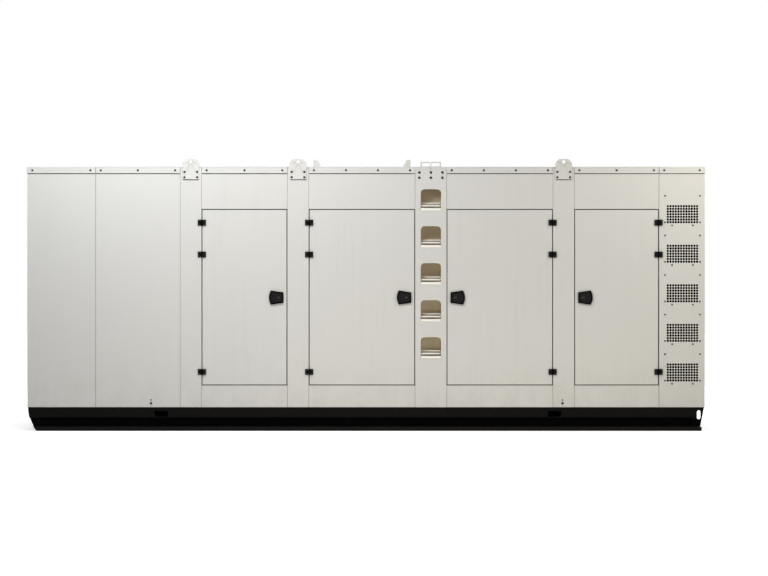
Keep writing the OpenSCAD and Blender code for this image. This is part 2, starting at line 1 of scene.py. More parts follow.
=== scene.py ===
"""Looks of an enclosed diesel generator set: finishes, fasteners, liners, studio and camera.

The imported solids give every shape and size. This script dresses them, adds the small
fasteners, latch trims and door liners that ride on them, and sets up a plain studio.
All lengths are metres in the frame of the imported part: +X along the set, -Y the ladder side.
"""

import json
import logging
import math
from abc import ABC, abstractmethod
from dataclasses import dataclass, field
from enum import Enum
from typing import Any

import bmesh
import bpy
from mathutils import Matrix, Vector

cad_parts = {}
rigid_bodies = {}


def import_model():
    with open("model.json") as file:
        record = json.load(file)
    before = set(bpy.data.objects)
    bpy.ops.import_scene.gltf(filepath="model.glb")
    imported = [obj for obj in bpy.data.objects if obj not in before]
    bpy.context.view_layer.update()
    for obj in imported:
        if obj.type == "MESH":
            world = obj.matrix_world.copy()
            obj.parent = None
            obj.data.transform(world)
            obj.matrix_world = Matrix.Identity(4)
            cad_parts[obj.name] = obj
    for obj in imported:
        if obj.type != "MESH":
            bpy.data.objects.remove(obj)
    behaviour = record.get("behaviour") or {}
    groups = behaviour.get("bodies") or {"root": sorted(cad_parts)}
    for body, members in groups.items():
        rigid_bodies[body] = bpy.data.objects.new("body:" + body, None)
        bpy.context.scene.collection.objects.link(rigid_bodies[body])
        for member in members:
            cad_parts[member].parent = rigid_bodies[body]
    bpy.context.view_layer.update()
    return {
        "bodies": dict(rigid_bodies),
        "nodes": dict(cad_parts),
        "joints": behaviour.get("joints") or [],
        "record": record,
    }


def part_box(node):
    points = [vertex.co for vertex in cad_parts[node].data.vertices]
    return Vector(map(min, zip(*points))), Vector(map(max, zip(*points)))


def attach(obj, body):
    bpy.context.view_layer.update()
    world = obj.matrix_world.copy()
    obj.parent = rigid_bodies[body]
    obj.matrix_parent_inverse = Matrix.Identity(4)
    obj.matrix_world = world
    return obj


Color = tuple[float, float, float]
Point = tuple[float, float, float]
Span = tuple[float, float]
Spot = tuple[Vector, Vector]
Material = bpy.types.Material
Mesh = bpy.types.Mesh
Shape = bmesh.types.BMesh
Socket = bpy.types.NodeSocket
Tree = bpy.types.NodeTree

LOG = logging.getLogger("generator")
ROOT = "enclosure"
FRONT = Vector((0.0, -1.0, 0.0))
REAR = Vector((0.0, 1.0, 0.0))
SIDES = (-1, 1)
# Points closer than this are one point.
MERGE = 1e-6
# A Mix node's factor and two colours among its inputs, and its colour among its outputs.
MIX_INPUTS = (0, 6, 7)
MIX_RESULT = 2
WHITE: Color = (1.0, 1.0, 1.0)
HOLE_BLACK: Color = (0.012, 0.012, 0.012)


def rgba(color: tuple[float, ...]) -> tuple[float, float, float, float]:
    """Returns a colour with full alpha."""
    return (color[0], color[1], color[2], 1.0)


def spread(low: float, high: float, count: int) -> list[float]:
    """Returns evenly spaced places from low to high."""
    return [low + (high - low) * step / (count - 1) for step in range(count)]


class Graph:
    """Adds and links nodes in one node tree."""

    def __init__(self, tree: Tree) -> None:
        """Keeps the tree that the nodes go into."""
        self.tree = tree

    def feed(self, socket: Socket, value: Any) -> None:
        """Links a socket, or sets a plain value.

        Args:
            socket: The input to feed.
            value: Another socket, or a value for the input.
        """
        if isinstance(value, Socket):
            self.tree.links.new(value, socket)
        else:
            socket.default_value = rgba(value) if socket.type == "RGBA" else value

    def node(self, kind: str, inputs: dict[Any, Any] | None = None, **settings: Any) -> bpy.types.Node:
        """Makes one node.

        Args:
            kind: Blender's type name for the node.
            inputs: Values or sockets by input name or number.
            settings: Properties of the node.

        Returns:
            The new node.
        """
        node = self.tree.nodes.new(kind)
        for name, value in settings.items():
            setattr(node, name, value)
        for name, value in (inputs or {}).items():
            self.feed(node.inputs[name], value)
        return node

    def math(self, operation: str, *values: Any, clamp: bool = False) -> Socket:
        """Makes a Math node.

        Args:
            operation: The operation's name.
            values: One to three numbers or sockets.
            clamp: Whether the result is held between 0 and 1.

        Returns:
            The result socket.
        """
        node = self.node("ShaderNodeMath", dict(enumerate(values)), operation=operation, use_clamp=clamp)
        return node.outputs[0]

    def mix(self, factor: Any, first: Any, second: Any) -> Socket:
        """Mixes two colours.

        Args:
            factor: Share of the second colour.
            first: The first colour or socket.
            second: The second colour or socket.

        Returns:
            The colour socket.
        """
        inputs = dict(zip(MIX_INPUTS, (factor, first, second), strict=True))
        return self.node("ShaderNodeMix", inputs, data_type="RGBA").outputs[MIX_RESULT]

    def noise(self, vector: Any, scale: Any, detail: float = 2.0, roughness: float = 0.5) -> Socket:
        """Makes a noise pattern.

        Args:
            vector: The coordinates' socket.
            scale: Pattern scale in features per metre.
            detail: Octaves of the pattern.
            roughness: Strength of the finer octaves.

        Returns:
            The value socket, about 0.5 on average.
        """
        inputs = {"Vector": vector, "Scale": scale, "Detail": detail, "Roughness": roughness}
        return self.node("ShaderNodeTexNoise", inputs).outputs["Fac"]

    def ramp(self, value: Any, low: Any, high: Any) -> Socket:
        """Maps a value from low..high to a smooth 0..1.

        Args:
            value: The value's socket.
            low: Where the result starts to rise.
            high: Where it reaches 1.

        Returns:
            The value socket.
        """
        inputs = {"Value": value, 1: low, 2: high}
        return self.node("ShaderNodeMapRange", inputs, interpolation_type="SMOOTHSTEP").outputs[0]

    def bump(self, strength: Any, depth: float, height: Any, **base: Any) -> Socket:
        """Makes a relief.

        Args:
            strength: Share of the relief that shows.
            depth: Depth of the relief.
            height: The height's socket.
            base: The Normal that the relief lies on, where there is one.

        Returns:
            The normal socket.
        """
        inputs = {"Strength": strength, "Distance": depth, "Height": height, **base}
        return self.node("ShaderNodeBump", inputs).outputs[0]

    def stretched(self, vector: Any, scale: Point) -> Socket:
        """Returns coordinates that are scaled along each axis."""
        return self.node("ShaderNodeMapping", {"Vector": vector, "Scale": scale}).outputs[0]

    def axes(self, vector: Any) -> Any:
        """Returns the X, Y and Z sockets of a vector."""
        return self.node("ShaderNodeSeparateXYZ", {0: vector}).outputs

    def vector(self, **axes: Any) -> Socket:
        """Returns a vector of the given X, Y or Z, with 0 for the rest."""
        return self.node("ShaderNodeCombineXYZ", axes).outputs[0]


class Shader:
    """One material with its position socket and its main shader node."""

    def __init__(self, name: str) -> None:
        """Makes an empty material with a main shader.

        Args:
            name: The material's name.
        """
        self.material = bpy.data.materials.new(name)
        self.material.use_nodes = True
        self.graph = Graph(self.material.node_tree)
        self.main = self.material.node_tree.nodes["Principled BSDF"]
        self.position = self.graph.node("ShaderNodeTexCoord").outputs["Object"]

    def finish(self, **values: Any) -> Material:
        """Sets or links the main shader's inputs.

        Args:
            values: Values or sockets by input name, with underscores for spaces.

        Returns:
            The finished material.
        """
        for name, value in values.items():
            self.graph.feed(self.main.inputs[name.replace("_", " ")], value)
        return self.material


class Effect(Enum):
    """Shader effects that several finishes share, each a node group built once."""

    SHEET_RELIEF = "sheet_relief"
    RAIN_STREAKS = "rain_streaks"
    GROUND_DUST = "ground_dust"
    LINER_HOLES = "liner_holes"

    def group(self) -> Tree:
        """Returns the effect's node group, and builds it the first time."""
        tree = bpy.data.node_groups.get(self.value)
        if tree is None:
            tree = bpy.data.node_groups.new(self.value, "ShaderNodeTree")
            builders = {
                Effect.SHEET_RELIEF: build_sheet_relief,
                Effect.RAIN_STREAKS: build_rain_streaks,
                Effect.GROUND_DUST: build_ground_dust,
                Effect.LINER_HOLES: build_liner_holes,
            }
            builders[self](tree)
        return tree

    def place(self, shader: Shader, **values: Any) -> Any:
        """Puts the effect into a material, on its Object coordinates.

        Args:
            shader: The material's shader.
            values: Values or sockets by input name, with underscores for spaces.

        Returns:
            The effect's output sockets.
        """
        inputs = {name.replace("_", " "): value for name, value in values.items()}
        inputs["Position"] = shader.position
        return shader.graph.node("ShaderNodeGroup", inputs, node_tree=self.group()).outputs


def sockets(tree: Tree, inputs: dict[str, Any], outputs: dict[str, str]) -> tuple[Graph, Any, Any]:
    """Gives a node group its position input and its other named sockets.

    Args:
        tree: The group's tree.
        inputs: Default number or colour by input name.
        outputs: Kind of value by output name: Color, Float or Vector.

    Returns:
        The graph, the sockets that bring the inputs and the sockets that take the outputs.
    """
    tree.interface.new_socket("Position", in_out="INPUT", socket_type="NodeSocketVector")
    for name, value in inputs.items():
        colored = isinstance(value, tuple)
        kind = "NodeSocketColor" if colored else "NodeSocketFloat"
        socket = tree.interface.new_socket(name, in_out="INPUT", socket_type=kind)
        socket.default_value = rgba(value) if colored else value
    for name, kind in outputs.items():
        tree.interface.new_socket(name, in_out="OUTPUT", socket_type="NodeSocket" + kind)
    graph = Graph(tree)
    return graph, graph.node("NodeGroupInput").outputs, graph.node("NodeGroupOutput").inputs


def build_sheet_relief(tree: Tree) -> None:
    """Fills the group for the slow waves of thin sheet and the fine peel of its coat.

    Args:
        tree: The group's empty tree.
    """
    inputs = {"Wave": 0.2, "Peel": 0.1, "Peel Scale": 260.0}
    graph, source, sink = sockets(tree, inputs, {"Normal": "Vector"})
    wave_stretch = (1.0, 1.0, 0.6)
    wave_scale = 2.2
    wave_depth = 0.012
    peel_depth = 0.0006
    waves = graph.noise(graph.stretched(source["Position"], wave_stretch), wave_scale, detail=1.0)
    slow = graph.bump(source["Wave"], wave_depth, waves)
    peel = graph.noise(source["Position"], source["Peel Scale"], detail=1.0)
    graph.feed(sink["Normal"], graph.bump(source["Peel"], peel_depth, peel, Normal=slow))


def build_rain_streaks(tree: Tree) -> None:
    """Fills the group for faint upright streaks and cloudy tone changes in paint.

    Args:
        tree: The group's empty tree.
    """
    inputs = {"Color": (0.5, 0.5, 0.5), "Streak Color": (0.3, 0.3, 0.3), "Amount": 0.1}
    graph, source, sink = sockets(tree, inputs, {"Color": "Color", "Mask": "Float"})
    streak_stretch = (22.0, 22.0, 0.7)
    streak_edge = (0.45, 0.8)
    cloud_scale = 1.3
    cloud_edge = (0.35, 0.7)
    upright = graph.stretched(source["Position"], streak_stretch)
    streak = graph.noise(upright, 1.0, detail=4.0, roughness=0.6)
    cloud = graph.noise(source["Position"], cloud_scale, detail=3.0)
    mask = graph.math("MULTIPLY", graph.ramp(streak, *streak_edge), graph.ramp(cloud, *cloud_edge))
    share = graph.math("MULTIPLY", mask, source["Amount"])
    graph.feed(sink["Color"], graph.mix(share, source["Color"], source["Streak Color"]))
    graph.feed(sink["Mask"], mask)


def build_ground_dust(tree: Tree) -> None:
    """Fills the group for pale dust that thins out above the ground.

    Args:
        tree: The group's empty tree.
    """
    inputs = {"Color": (0.5, 0.5, 0.5), "Dust Color": (0.3, 0.28, 0.24), "Reach": 0.5, "Amount": 0.2}
    graph, source, sink = sockets(tree, inputs, {"Color": "Color", "Mask": "Float"})
    grain_scale = 7.0
    grain_edge = (0.3, 0.75)
    height = graph.axes(source["Position"])["Z"]
    fall = graph.math("SUBTRACT", 1.0, graph.ramp(height, 0.0, source["Reach"]))
    grain = graph.noise(source["Position"], grain_scale, detail=6.0, roughness=0.65)
    mask = graph.math("MULTIPLY", fall, graph.ramp(grain, *grain_edge))
    share = graph.math("MULTIPLY", mask, source["Amount"])
    graph.feed(sink["Color"], graph.mix(share, source["Color"], source["Dust Color"]))
    graph.feed(sink["Mask"], share)


def build_liner_holes(tree: Tree) -> None:
    """Fills the group for the rows of small round holes in an inner liner sheet.

    Args:
        tree: The group's empty tree.
    """
    inputs = {"Pitch": 0.014, "Hole Radius": 0.0036}
    graph, source, sink = sockets(tree, inputs, {"Mask": "Float"})
    soft_edge = 0.0004
    axes = graph.axes(source["Position"])
    # A sheet lies along X or along Y, so the sum of the two runs along it either way.
    along = graph.math("ADD", axes["X"], axes["Y"])
    squares = []
    for value in (along, axes["Z"]):
        turns = graph.math("DIVIDE", value, source["Pitch"])
        offset = graph.math("SUBTRACT", graph.math("FRACT", turns), 0.5)
        squares.append(graph.math("MULTIPLY", offset, offset))
    reach = graph.math("MULTIPLY", graph.math("SQRT", graph.math("ADD", *squares)), source["Pitch"])
    edge = graph.math("SUBTRACT", reach, source["Hole Radius"])
    graph.feed(sink["Mask"], graph.math("SUBTRACT", 1.0, graph.ramp(edge, -soft_edge, soft_edge)))


@dataclass(frozen=True)
class SheetPaint:
    """Satin paint on folded steel sheet, with a liner on the faces that look inwards.

    The space inside the walls has the half length, half width and top that inner gives.
    """

    name: str
    color: Color
    streak: Color = (0.36, 0.34, 0.29)
    streaks: float = 0.1
    streak_dulls: float = 0.1
    dust: float = 0.3
    dust_color: Color = (0.42, 0.39, 0.33)
    dust_reach: float = 0.75
    roughness: float = 0.48
    shine: float = 0.32
    wave: float = 0.1
    peel: float = 0.12
    lined: bool = True
    liner: Color = (0.33, 0.335, 0.34)
    liner_dulls: float = 0.12
    inner: Point = (2.945, 0.9985, 2.333)

    def build(self) -> Material:
        """Returns the finished material."""
        shader = Shader(self.name)
        washed = Effect.RAIN_STREAKS.place(
            shader, Color=self.color, Streak_Color=self.streak, Amount=self.streaks
        )
        dusty = Effect.GROUND_DUST.place(
            shader,
            Color=washed["Color"],
            Dust_Color=self.dust_color,
            Reach=self.dust_reach,
            Amount=self.dust,
        )
        relief = Effect.SHEET_RELIEF.place(shader, Wave=self.wave, Peel=self.peel)
        color = dusty["Color"]
        rough = shader.graph.math("MULTIPLY_ADD", washed["Mask"], self.streak_dulls, self.roughness)
        if self.lined:
            color, rough = self.add_liner(shader, color, rough)
        return shader.finish(
            Base_Color=color, Roughness=rough, Normal=relief["Normal"], Specular_IOR_Level=self.shine
        )

    def add_liner(self, shader: Shader, color: Any, rough: Any) -> tuple[Socket, Socket]:
        """Shows the perforated inner liner on the faces inside the walls.

        Args:
            shader: The material's shader.
            color: The paint's colour socket.
            rough: The paint's roughness socket.

        Returns:
            The colour and roughness sockets with the liner added.
        """
        graph = shader.graph
        axes = graph.axes(shader.position)
        half_length, half_width, top = self.inner
        across = graph.math("LESS_THAN", graph.math("ABSOLUTE", axes["Y"]), half_width)
        along = graph.math("LESS_THAN", graph.math("ABSOLUTE", axes["X"]), half_length)
        below = graph.math("LESS_THAN", axes["Z"], top)
        inside = graph.math("MULTIPLY", graph.math("MULTIPLY", across, along), below)
        holes = Effect.LINER_HOLES.place(shader)["Mask"]
        liner = graph.mix(holes, self.liner, HOLE_BLACK)
        return graph.mix(inside, color, liner), graph.math("MULTIPLY_ADD", inside, self.liner_dulls, rough)


@dataclass(frozen=True)
class DarkPaint:
    """Black paint on heavy plate: a dusty foot painted lighter as if lit, a web painted darker as its shade,
    and a lighter band above it.

    One tone turns into the next between the two heights of foot_top and of web_top.
    """

    name: str
    color: Color = (0.0078, 0.0073, 0.0068)
    # Painted shade of the set-back web, and painted light on the foot.
    web_shade_color: Color = (0.0005, 0.0005, 0.0005)
    foot_light_color: Color = (0.012, 0.0112, 0.0102)
    foot_top: Span = (0.037, 0.041)
    web_top: Span = (0.1, 0.135)
    dust: float = 0.014
    dust_color: Color = (0.11, 0.1, 0.085)
    dust_reach: float = 0.28
    dust_dulls: float = 2.0
    roughness: float = 0.42
    shine: float = 0.016
    wave: float = 0.05
    peel: float = 0.3
    peel_scale: float = 180.0

    def build(self) -> Material:
        """Returns the finished material."""
        shader = Shader(self.name)
        graph = shader.graph
        height = graph.axes(shader.position)["Z"]
        # Painted light and shade: the foot is lighter where light falls on it, and the web is darker as its
        # shade.
        low = graph.mix(graph.ramp(height, *self.foot_top), self.foot_light_color, self.web_shade_color)
        tone = graph.mix(graph.ramp(height, *self.web_top), low, self.color)
        dusty = Effect.GROUND_DUST.place(
            shader, Color=tone, Dust_Color=self.dust_color, Reach=self.dust_reach, Amount=self.dust
        )
        relief = Effect.SHEET_RELIEF.place(
            shader, Wave=self.wave, Peel=self.peel, Peel_Scale=self.peel_scale
        )
        rough = graph.math("MULTIPLY_ADD", dusty["Mask"], self.dust_dulls, self.roughness, clamp=True)
        return shader.finish(
            Base_Color=dusty["Color"],
            Roughness=rough,
            Normal=relief["Normal"],
            Specular_IOR_Level=self.shine,
        )


@dataclass(frozen=True)
class Moulding:
    """Moulded plastic, rubber or coating with a fine grain and faint scuffs."""

    name: str
    color: Color
    scuff: Color
    roughness: float = 0.45
    shine: float = 0.12
    scuff_scale: float = 60.0
    scuff_edge: Span = (0.52, 0.8)
    scuff_dulls: float = 0.18
    grain: float = 0.35
    grain_scale: float = 900.0
    grain_depth: float = 0.0002

    def build(self) -> Material:
        """Returns the finished material."""
        shader = Shader(self.name)
        graph = shader.graph
        pattern = graph.noise(shader.position, self.scuff_scale, detail=6.0, roughness=0.7)
        scuffs = graph.ramp(pattern, *self.scuff_edge)
        grain = graph.noise(shader.position, self.grain_scale, detail=2.0)
        return shader.finish(
            Base_Color=graph.mix(scuffs, self.color, self.scuff),
            Roughness=graph.math("MULTIPLY_ADD", scuffs, self.scuff_dulls, self.roughness),
            Normal=graph.bump(self.grain, self.grain_depth, grain),
            Specular_IOR_Level=self.shine,
        )


@dataclass(frozen=True)
class Zinc:
    """Galvanised steel with a spangle, plain or pierced by rows of small holes."""

    name: str
    pierced: bool = False
    tone: Color = (0.5, 0.51, 0.52)
    dark: Color = (0.36, 0.37, 0.385)
    spangle_scale: float = 90.0
    roughness: float = 0.34
    spangle_dulls: float = 0.2
    metal: float = 0.75
    spangle_shines: float = 0.1
    hole_dulls: float = 0.4

    def build(self) -> Material:
        """Returns the finished material."""
        shader = Shader(self.name)
        graph = shader.graph
        cells = graph.node("ShaderNodeTexVoronoi", {"Vector": shader.position, "Scale": self.spangle_scale})
        spangle = graph.node("ShaderNodeSeparateColor", {0: cells.outputs["Color"]}).outputs[0]
        color = graph.mix(spangle, self.dark, self.tone)
        rough = graph.math("MULTIPLY_ADD", spangle, self.spangle_dulls, self.roughness)
        metal = graph.math("MULTIPLY_ADD", spangle, self.spangle_shines, self.metal)
        if self.pierced:
            holes = Effect.LINER_HOLES.place(shader)["Mask"]
            color = graph.mix(holes, color, HOLE_BLACK)
            metal = graph.math("MULTIPLY", metal, graph.math("SUBTRACT", 1.0, holes))
            rough = graph.math("MULTIPLY_ADD", holes, self.hole_dulls, rough)
        return shader.finish(Base_Color=color, Roughness=rough, Metallic=metal)


@dataclass(frozen=True)
class FoamSlab:
    """Charcoal open-cell lining with a soft porous face."""

    name: str
    color: Color = (0.028, 0.028, 0.03)
    light: Color = (0.06, 0.06, 0.063)
    cell_scale: float = 260.0
    cell_depth: float = 0.002
    relief: float = 0.7
    tuft_scale: float = 35.0
    tuft_dulls: float = 0.1
    roughness: float = 0.86

    def build(self) -> Material:
        """Returns the finished material."""
        shader = Shader(self.name)
        graph = shader.graph
        pattern = graph.node("ShaderNodeTexVoronoi", {"Vector": shader.position, "Scale": self.cell_scale})
        cells = pattern.outputs["Distance"]
        tufts = graph.noise(shader.position, self.tuft_scale, detail=4.0)
        return shader.finish(
            Base_Color=graph.mix(graph.math("MULTIPLY", cells, tufts), self.color, self.light),
            Roughness=graph.math("MULTIPLY_ADD", tufts, self.tuft_dulls, self.roughness),
            Normal=graph.bump(self.relief, self.cell_depth, cells),
        )


@dataclass(frozen=True)
class BlackedSteel:
    """Dark plated fastener steel, with handling marks."""

    name: str
    color: Color = (0.035, 0.033, 0.031)
    worn: Color = (0.1, 0.095, 0.09)
    wear_scale: float = 140.0
    wear_edge: Span = (0.5, 0.78)
    roughness: float = 0.5
    wear_dulls: float = -0.1
    metal: float = 0.3
    wear_shines: float = 0.3

    def build(self) -> Material:
        """Returns the finished material."""
        shader = Shader(self.name)
        graph = shader.graph
        pattern = graph.noise(shader.position, self.wear_scale, detail=5.0, roughness=0.7)
        wear = graph.ramp(pattern, *self.wear_edge)
        return shader.finish(
            Base_Color=graph.mix(wear, self.color, self.worn),
            Roughness=graph.math("MULTIPLY_ADD", wear, self.wear_dulls, self.roughness),
            Metallic=graph.math("MULTIPLY_ADD", wear, self.wear_shines, self.metal),
        )


Finish = SheetPaint | DarkPaint | Moulding | Zinc | FoamSlab | BlackedSteel


@dataclass
class Palette:
    """Every finish of the set, named by the record's material slot or by its use in this script."""

    finishes: tuple[Finish, ...] = (
        SheetPaint("enclosure_paint", (0.66, 0.64, 0.597)),
        # A warmer, browner copy of the body's cream: painted warm shade inside the ladder recesses.
        SheetPaint("well_paint", (0.88, 0.74, 0.53), streaks=0.25, dust=0.0, lined=False),
        # A paler, warmer copy of the body's cream: painted highlight of the light on the tread lips and
        # noses.
        SheetPaint("tread_paint", (0.94, 0.9, 0.81), streaks=0.06, dust=0.0, lined=False),
        DarkPaint("base_black"),
        DarkPaint(
            "intake_hood",
            color=(0.003, 0.003, 0.003),
            foot_light_color=(0.003, 0.003, 0.003),
            dust=0.0,
            roughness=0.8,
        ),
        Moulding("fitting_black", (0.0022, 0.002, 0.002), (0.0045, 0.004, 0.004), roughness=0.4, shine=0.05),
        Moulding("paddle_black", (0.0085, 0.0065, 0.007), (0.016, 0.0125, 0.013), roughness=0.36),
        Moulding(
            "rubber_black", (0.012, 0.012, 0.012), (0.02, 0.02, 0.02), roughness=0.75, grain_scale=400.0
        ),
        FoamSlab("acoustic_lining"),
        Zinc("galvanised"),
        Zinc("liner_sheet", pierced=True),
        BlackedSteel("dark_bolt"),
        BlackedSteel("barrel_steel", (0.017, 0.016, 0.017), (0.04, 0.038, 0.038)),
        # Brown grip coat: painted shade on the rising part of each tread.
        Moulding(
            "grip_shade_coat", (0.36, 0.3, 0.22), (0.5, 0.44, 0.34), roughness=0.8, grain=0.8, grain_scale=700.0
        ),
        Moulding(
            "seam_sealant", (0.2, 0.195, 0.18), (0.25, 0.245, 0.23), roughness=0.6, grain_scale=300.0
        ),
    )
    made: dict[str, Material] = field(default_factory=dict)

    def build(self) -> None:
        """Builds every finish once."""
        for finish in self.finishes:
            self.made[finish.name] = finish.build()
            LOG.info("finish %s", finish.name)


@dataclass(frozen=True)
class Bays:
    """The bays along the set and its main faces and heights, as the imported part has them.

    Bays are counted from 0 at the -X end. A face is given by its distance from the middle of the set.
    """

    widths: tuple[float, ...] = (0.605, 0.749, 0.187, 0.76, 0.188, 0.942, 0.277, 0.942, 0.187, 0.75, 0.405)
    posts: tuple[int, ...] = (2, 4, 8)
    doors: tuple[int, ...] = (3, 5, 7, 9)
    ladder: int = 6
    intake: int = 10
    wall: float = 1.05
    post: float = 1.054
    lug: float = 1.066
    gable: float = 2.996
    flange: float = 2.305

    def start(self, bay: int) -> float:
        """Returns where a bay starts along X."""
        return sum(self.widths[:bay]) - sum(self.widths) / 2

    def middle(self, bay: int) -> float:
        """Returns the middle of a bay along X."""
        return self.start(bay) + self.widths[bay] / 2


@dataclass
class Dresser:
    """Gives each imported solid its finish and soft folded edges."""

    palette: Palette
    edge: float = 0.0025
    edge_segments: int = 2
    edge_angle: float = math.radians(40)
    weld: float = 0.00005
    plain: tuple[str, ...] = ("front_intake_panel", "rear_intake_panel", "ladder_column")
    sloped: tuple[str, ...] = ("base_rail_front", "base_rail_rear")

    def dress(self, frame: dict[str, Any]) -> None:
        """Dresses every solid by its slot in the record.
        """
        for part in frame["record"]["subparts"]:
            solid = frame["nodes"][part["node"]]
            material = self.palette.made[part["material_slot"]]
            if not solid.material_slots:
                solid.data.materials.append(material)
            for place in solid.material_slots:
                place.material = material
            if part["node"] not in self.plain:
                self.soften(solid, part["node"] not in self.sloped)
            LOG.info("dressed %s in %s", part["node"], material.name)

    def soften(self, solid: bpy.types.Object, slide: bool) -> None:
        """Rounds a solid's edges a little, as folded sheet has them.

        Args:
            solid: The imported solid's object.
            slide: Whether new corners may slide along the edges, which overshoots at a sloped end.
        """
        weld = solid.modifiers.new("weld", "WELD")
        weld.merge_threshold = self.weld
        bevel = solid.modifiers.new("edges", "BEVEL")
        bevel.width = self.edge
        bevel.segments = self.edge_segments
        bevel.limit_method = "ANGLE"
        bevel.angle_limit = self.edge_angle
        bevel.harden_normals = True
        bevel.loop_slide = slide


def add_piece(name: str, mesh: Mesh, body: str) -> None:
    """Links a finished mesh as a piece of the set.

    Args:
        name: The piece's name.
        mesh: Its mesh, in place.
        body: The body it moves with.
    """
    mesh.name = name
    piece = bpy.data.objects.new(name, mesh)
    bpy.context.scene.collection.objects.link(piece)
    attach(piece, body)
    LOG.info("piece %s: %d faces on %s", name, len(mesh.polygons), body)


def from_bmesh(shape: Shape, *materials: Material) -> Mesh:
    """Turns a built shape into a mesh with outward faces.

    Args:
        shape: The shape, which is freed.
        materials: The mesh's materials in order.

    Returns:
        The new mesh.
    """
    bmesh.ops.remove_doubles(shape, verts=shape.verts, dist=MERGE)
    bmesh.ops.recalc_face_normals(shape, faces=shape.faces)
    mesh = bpy.data.meshes.new("shape")
    shape.to_mesh(mesh)
    shape.free()
    for material in materials:
        mesh.materials.append(material)
    return mesh


def loft(shape: Shape, rings: list[list[Any]], material: int = 0) -> None:
    """Adds a closed skin over a row of rings.

    Args:
        shape: The shape to add to.
        rings: The rings' points. All have the same count, or the last is one point, a peak.
        material: The place of the faces' material among the mesh's materials.
    """
    rows = [[shape.verts.new(point) for point in ring] for ring in rings]
    faces = [shape.faces.new(row) for row in (rows[0], rows[-1]) if len(row) > 1]
    for first, second in zip(rows, rows[1:], strict=False):
        for k, corner in enumerate(first):
            follow = (k + 1) % len(first)
            upper = (second[follow], second[k]) if len(second) > 1 else second
            faces.append(shape.faces.new((corner, first[follow], *upper)))
    for face in faces:
        face.material_index = material


@dataclass(frozen=True)
class PointTree(ABC):
    """Geometry Nodes tree that puts one shape on each point. Each kind gives the shape and its turn."""

    name: str
    sizes: tuple[str, ...]
    counts: tuple[str, ...] = ()

    @abstractmethod
    def shape(self, graph: Graph, source: Any) -> Socket:
        """Builds the shape for one point.

        Args:
            graph: The tree's graph.
            source: The tree's input sockets.

        Returns:
            The geometry socket.
        """

    @abstractmethod
    def turn(self, graph: Graph, source: Any) -> Socket:
        """Builds the turn of the shape at its point.

        Args:
            graph: The tree's graph.
            source: The tree's input sockets.

        Returns:
            The rotation socket.
        """

    def build(self) -> Tree:
        """Returns the tree, and builds it the first time."""
        found = bpy.data.node_groups.get(self.name)
        if found:
            return found
        tree = bpy.data.node_groups.new(self.name, "GeometryNodeTree")
        kinds = {"Geometry": "Geometry"}
        kinds |= dict.fromkeys(self.counts, "Int")
        kinds |= dict.fromkeys(self.sizes, "Float")
        kinds["Finish"] = "Material"
        for name, kind in kinds.items():
            tree.interface.new_socket(name, in_out="INPUT", socket_type="NodeSocket" + kind)
        tree.interface.new_socket("Geometry", in_out="OUTPUT", socket_type="NodeSocketGeometry")
        graph = Graph(tree)
        source = graph.node("NodeGroupInput").outputs
        inputs = {"Instance": self.shape(graph, source), "Rotation": self.turn(graph, source)}
        copies = graph.node("GeometryNodeInstanceOnPoints", {"Points": source["Geometry"], **inputs})
        real = graph.node("GeometryNodeRealizeInstances", {0: copies.outputs[0]}).outputs[0]
        dressed = graph.node("GeometryNodeSetMaterial", {"Geometry": real, "Material": source["Finish"]})
        graph.node("NodeGroupOutput", {0: dressed.outputs[0]})
        return tree

    def grow(self, name: str, points: Mesh, values: dict[str, Any]) -> Mesh:
        """Runs the tree on a set of points.

        Args:
            name: The piece's name.
            points: The points, with the attributes that the tree reads.
            values: The tree's inputs by name.

        Returns:
            The plain mesh that the tree makes.
        """
        carrier = bpy.data.objects.new(name + "_carrier", points)
        bpy.context.scene.collection.objects.link(carrier)
        modifier = carrier.modifiers.new(self.name, "NODES")
        modifier.node_group = self.build()
        for item in modifier.node_group.interface.items_tree:
            if item.in_out == "INPUT" and item.name in values:
                modifier[item.identifier] = values[item.name]
        evaluated = carrier.evaluated_get(bpy.context.evaluated_depsgraph_get())
        mesh = bpy.data.meshes.new_from_object(evaluated)
        carrier.modifiers.remove(modifier)
        bpy.data.objects.remove(carrier)
        return mesh


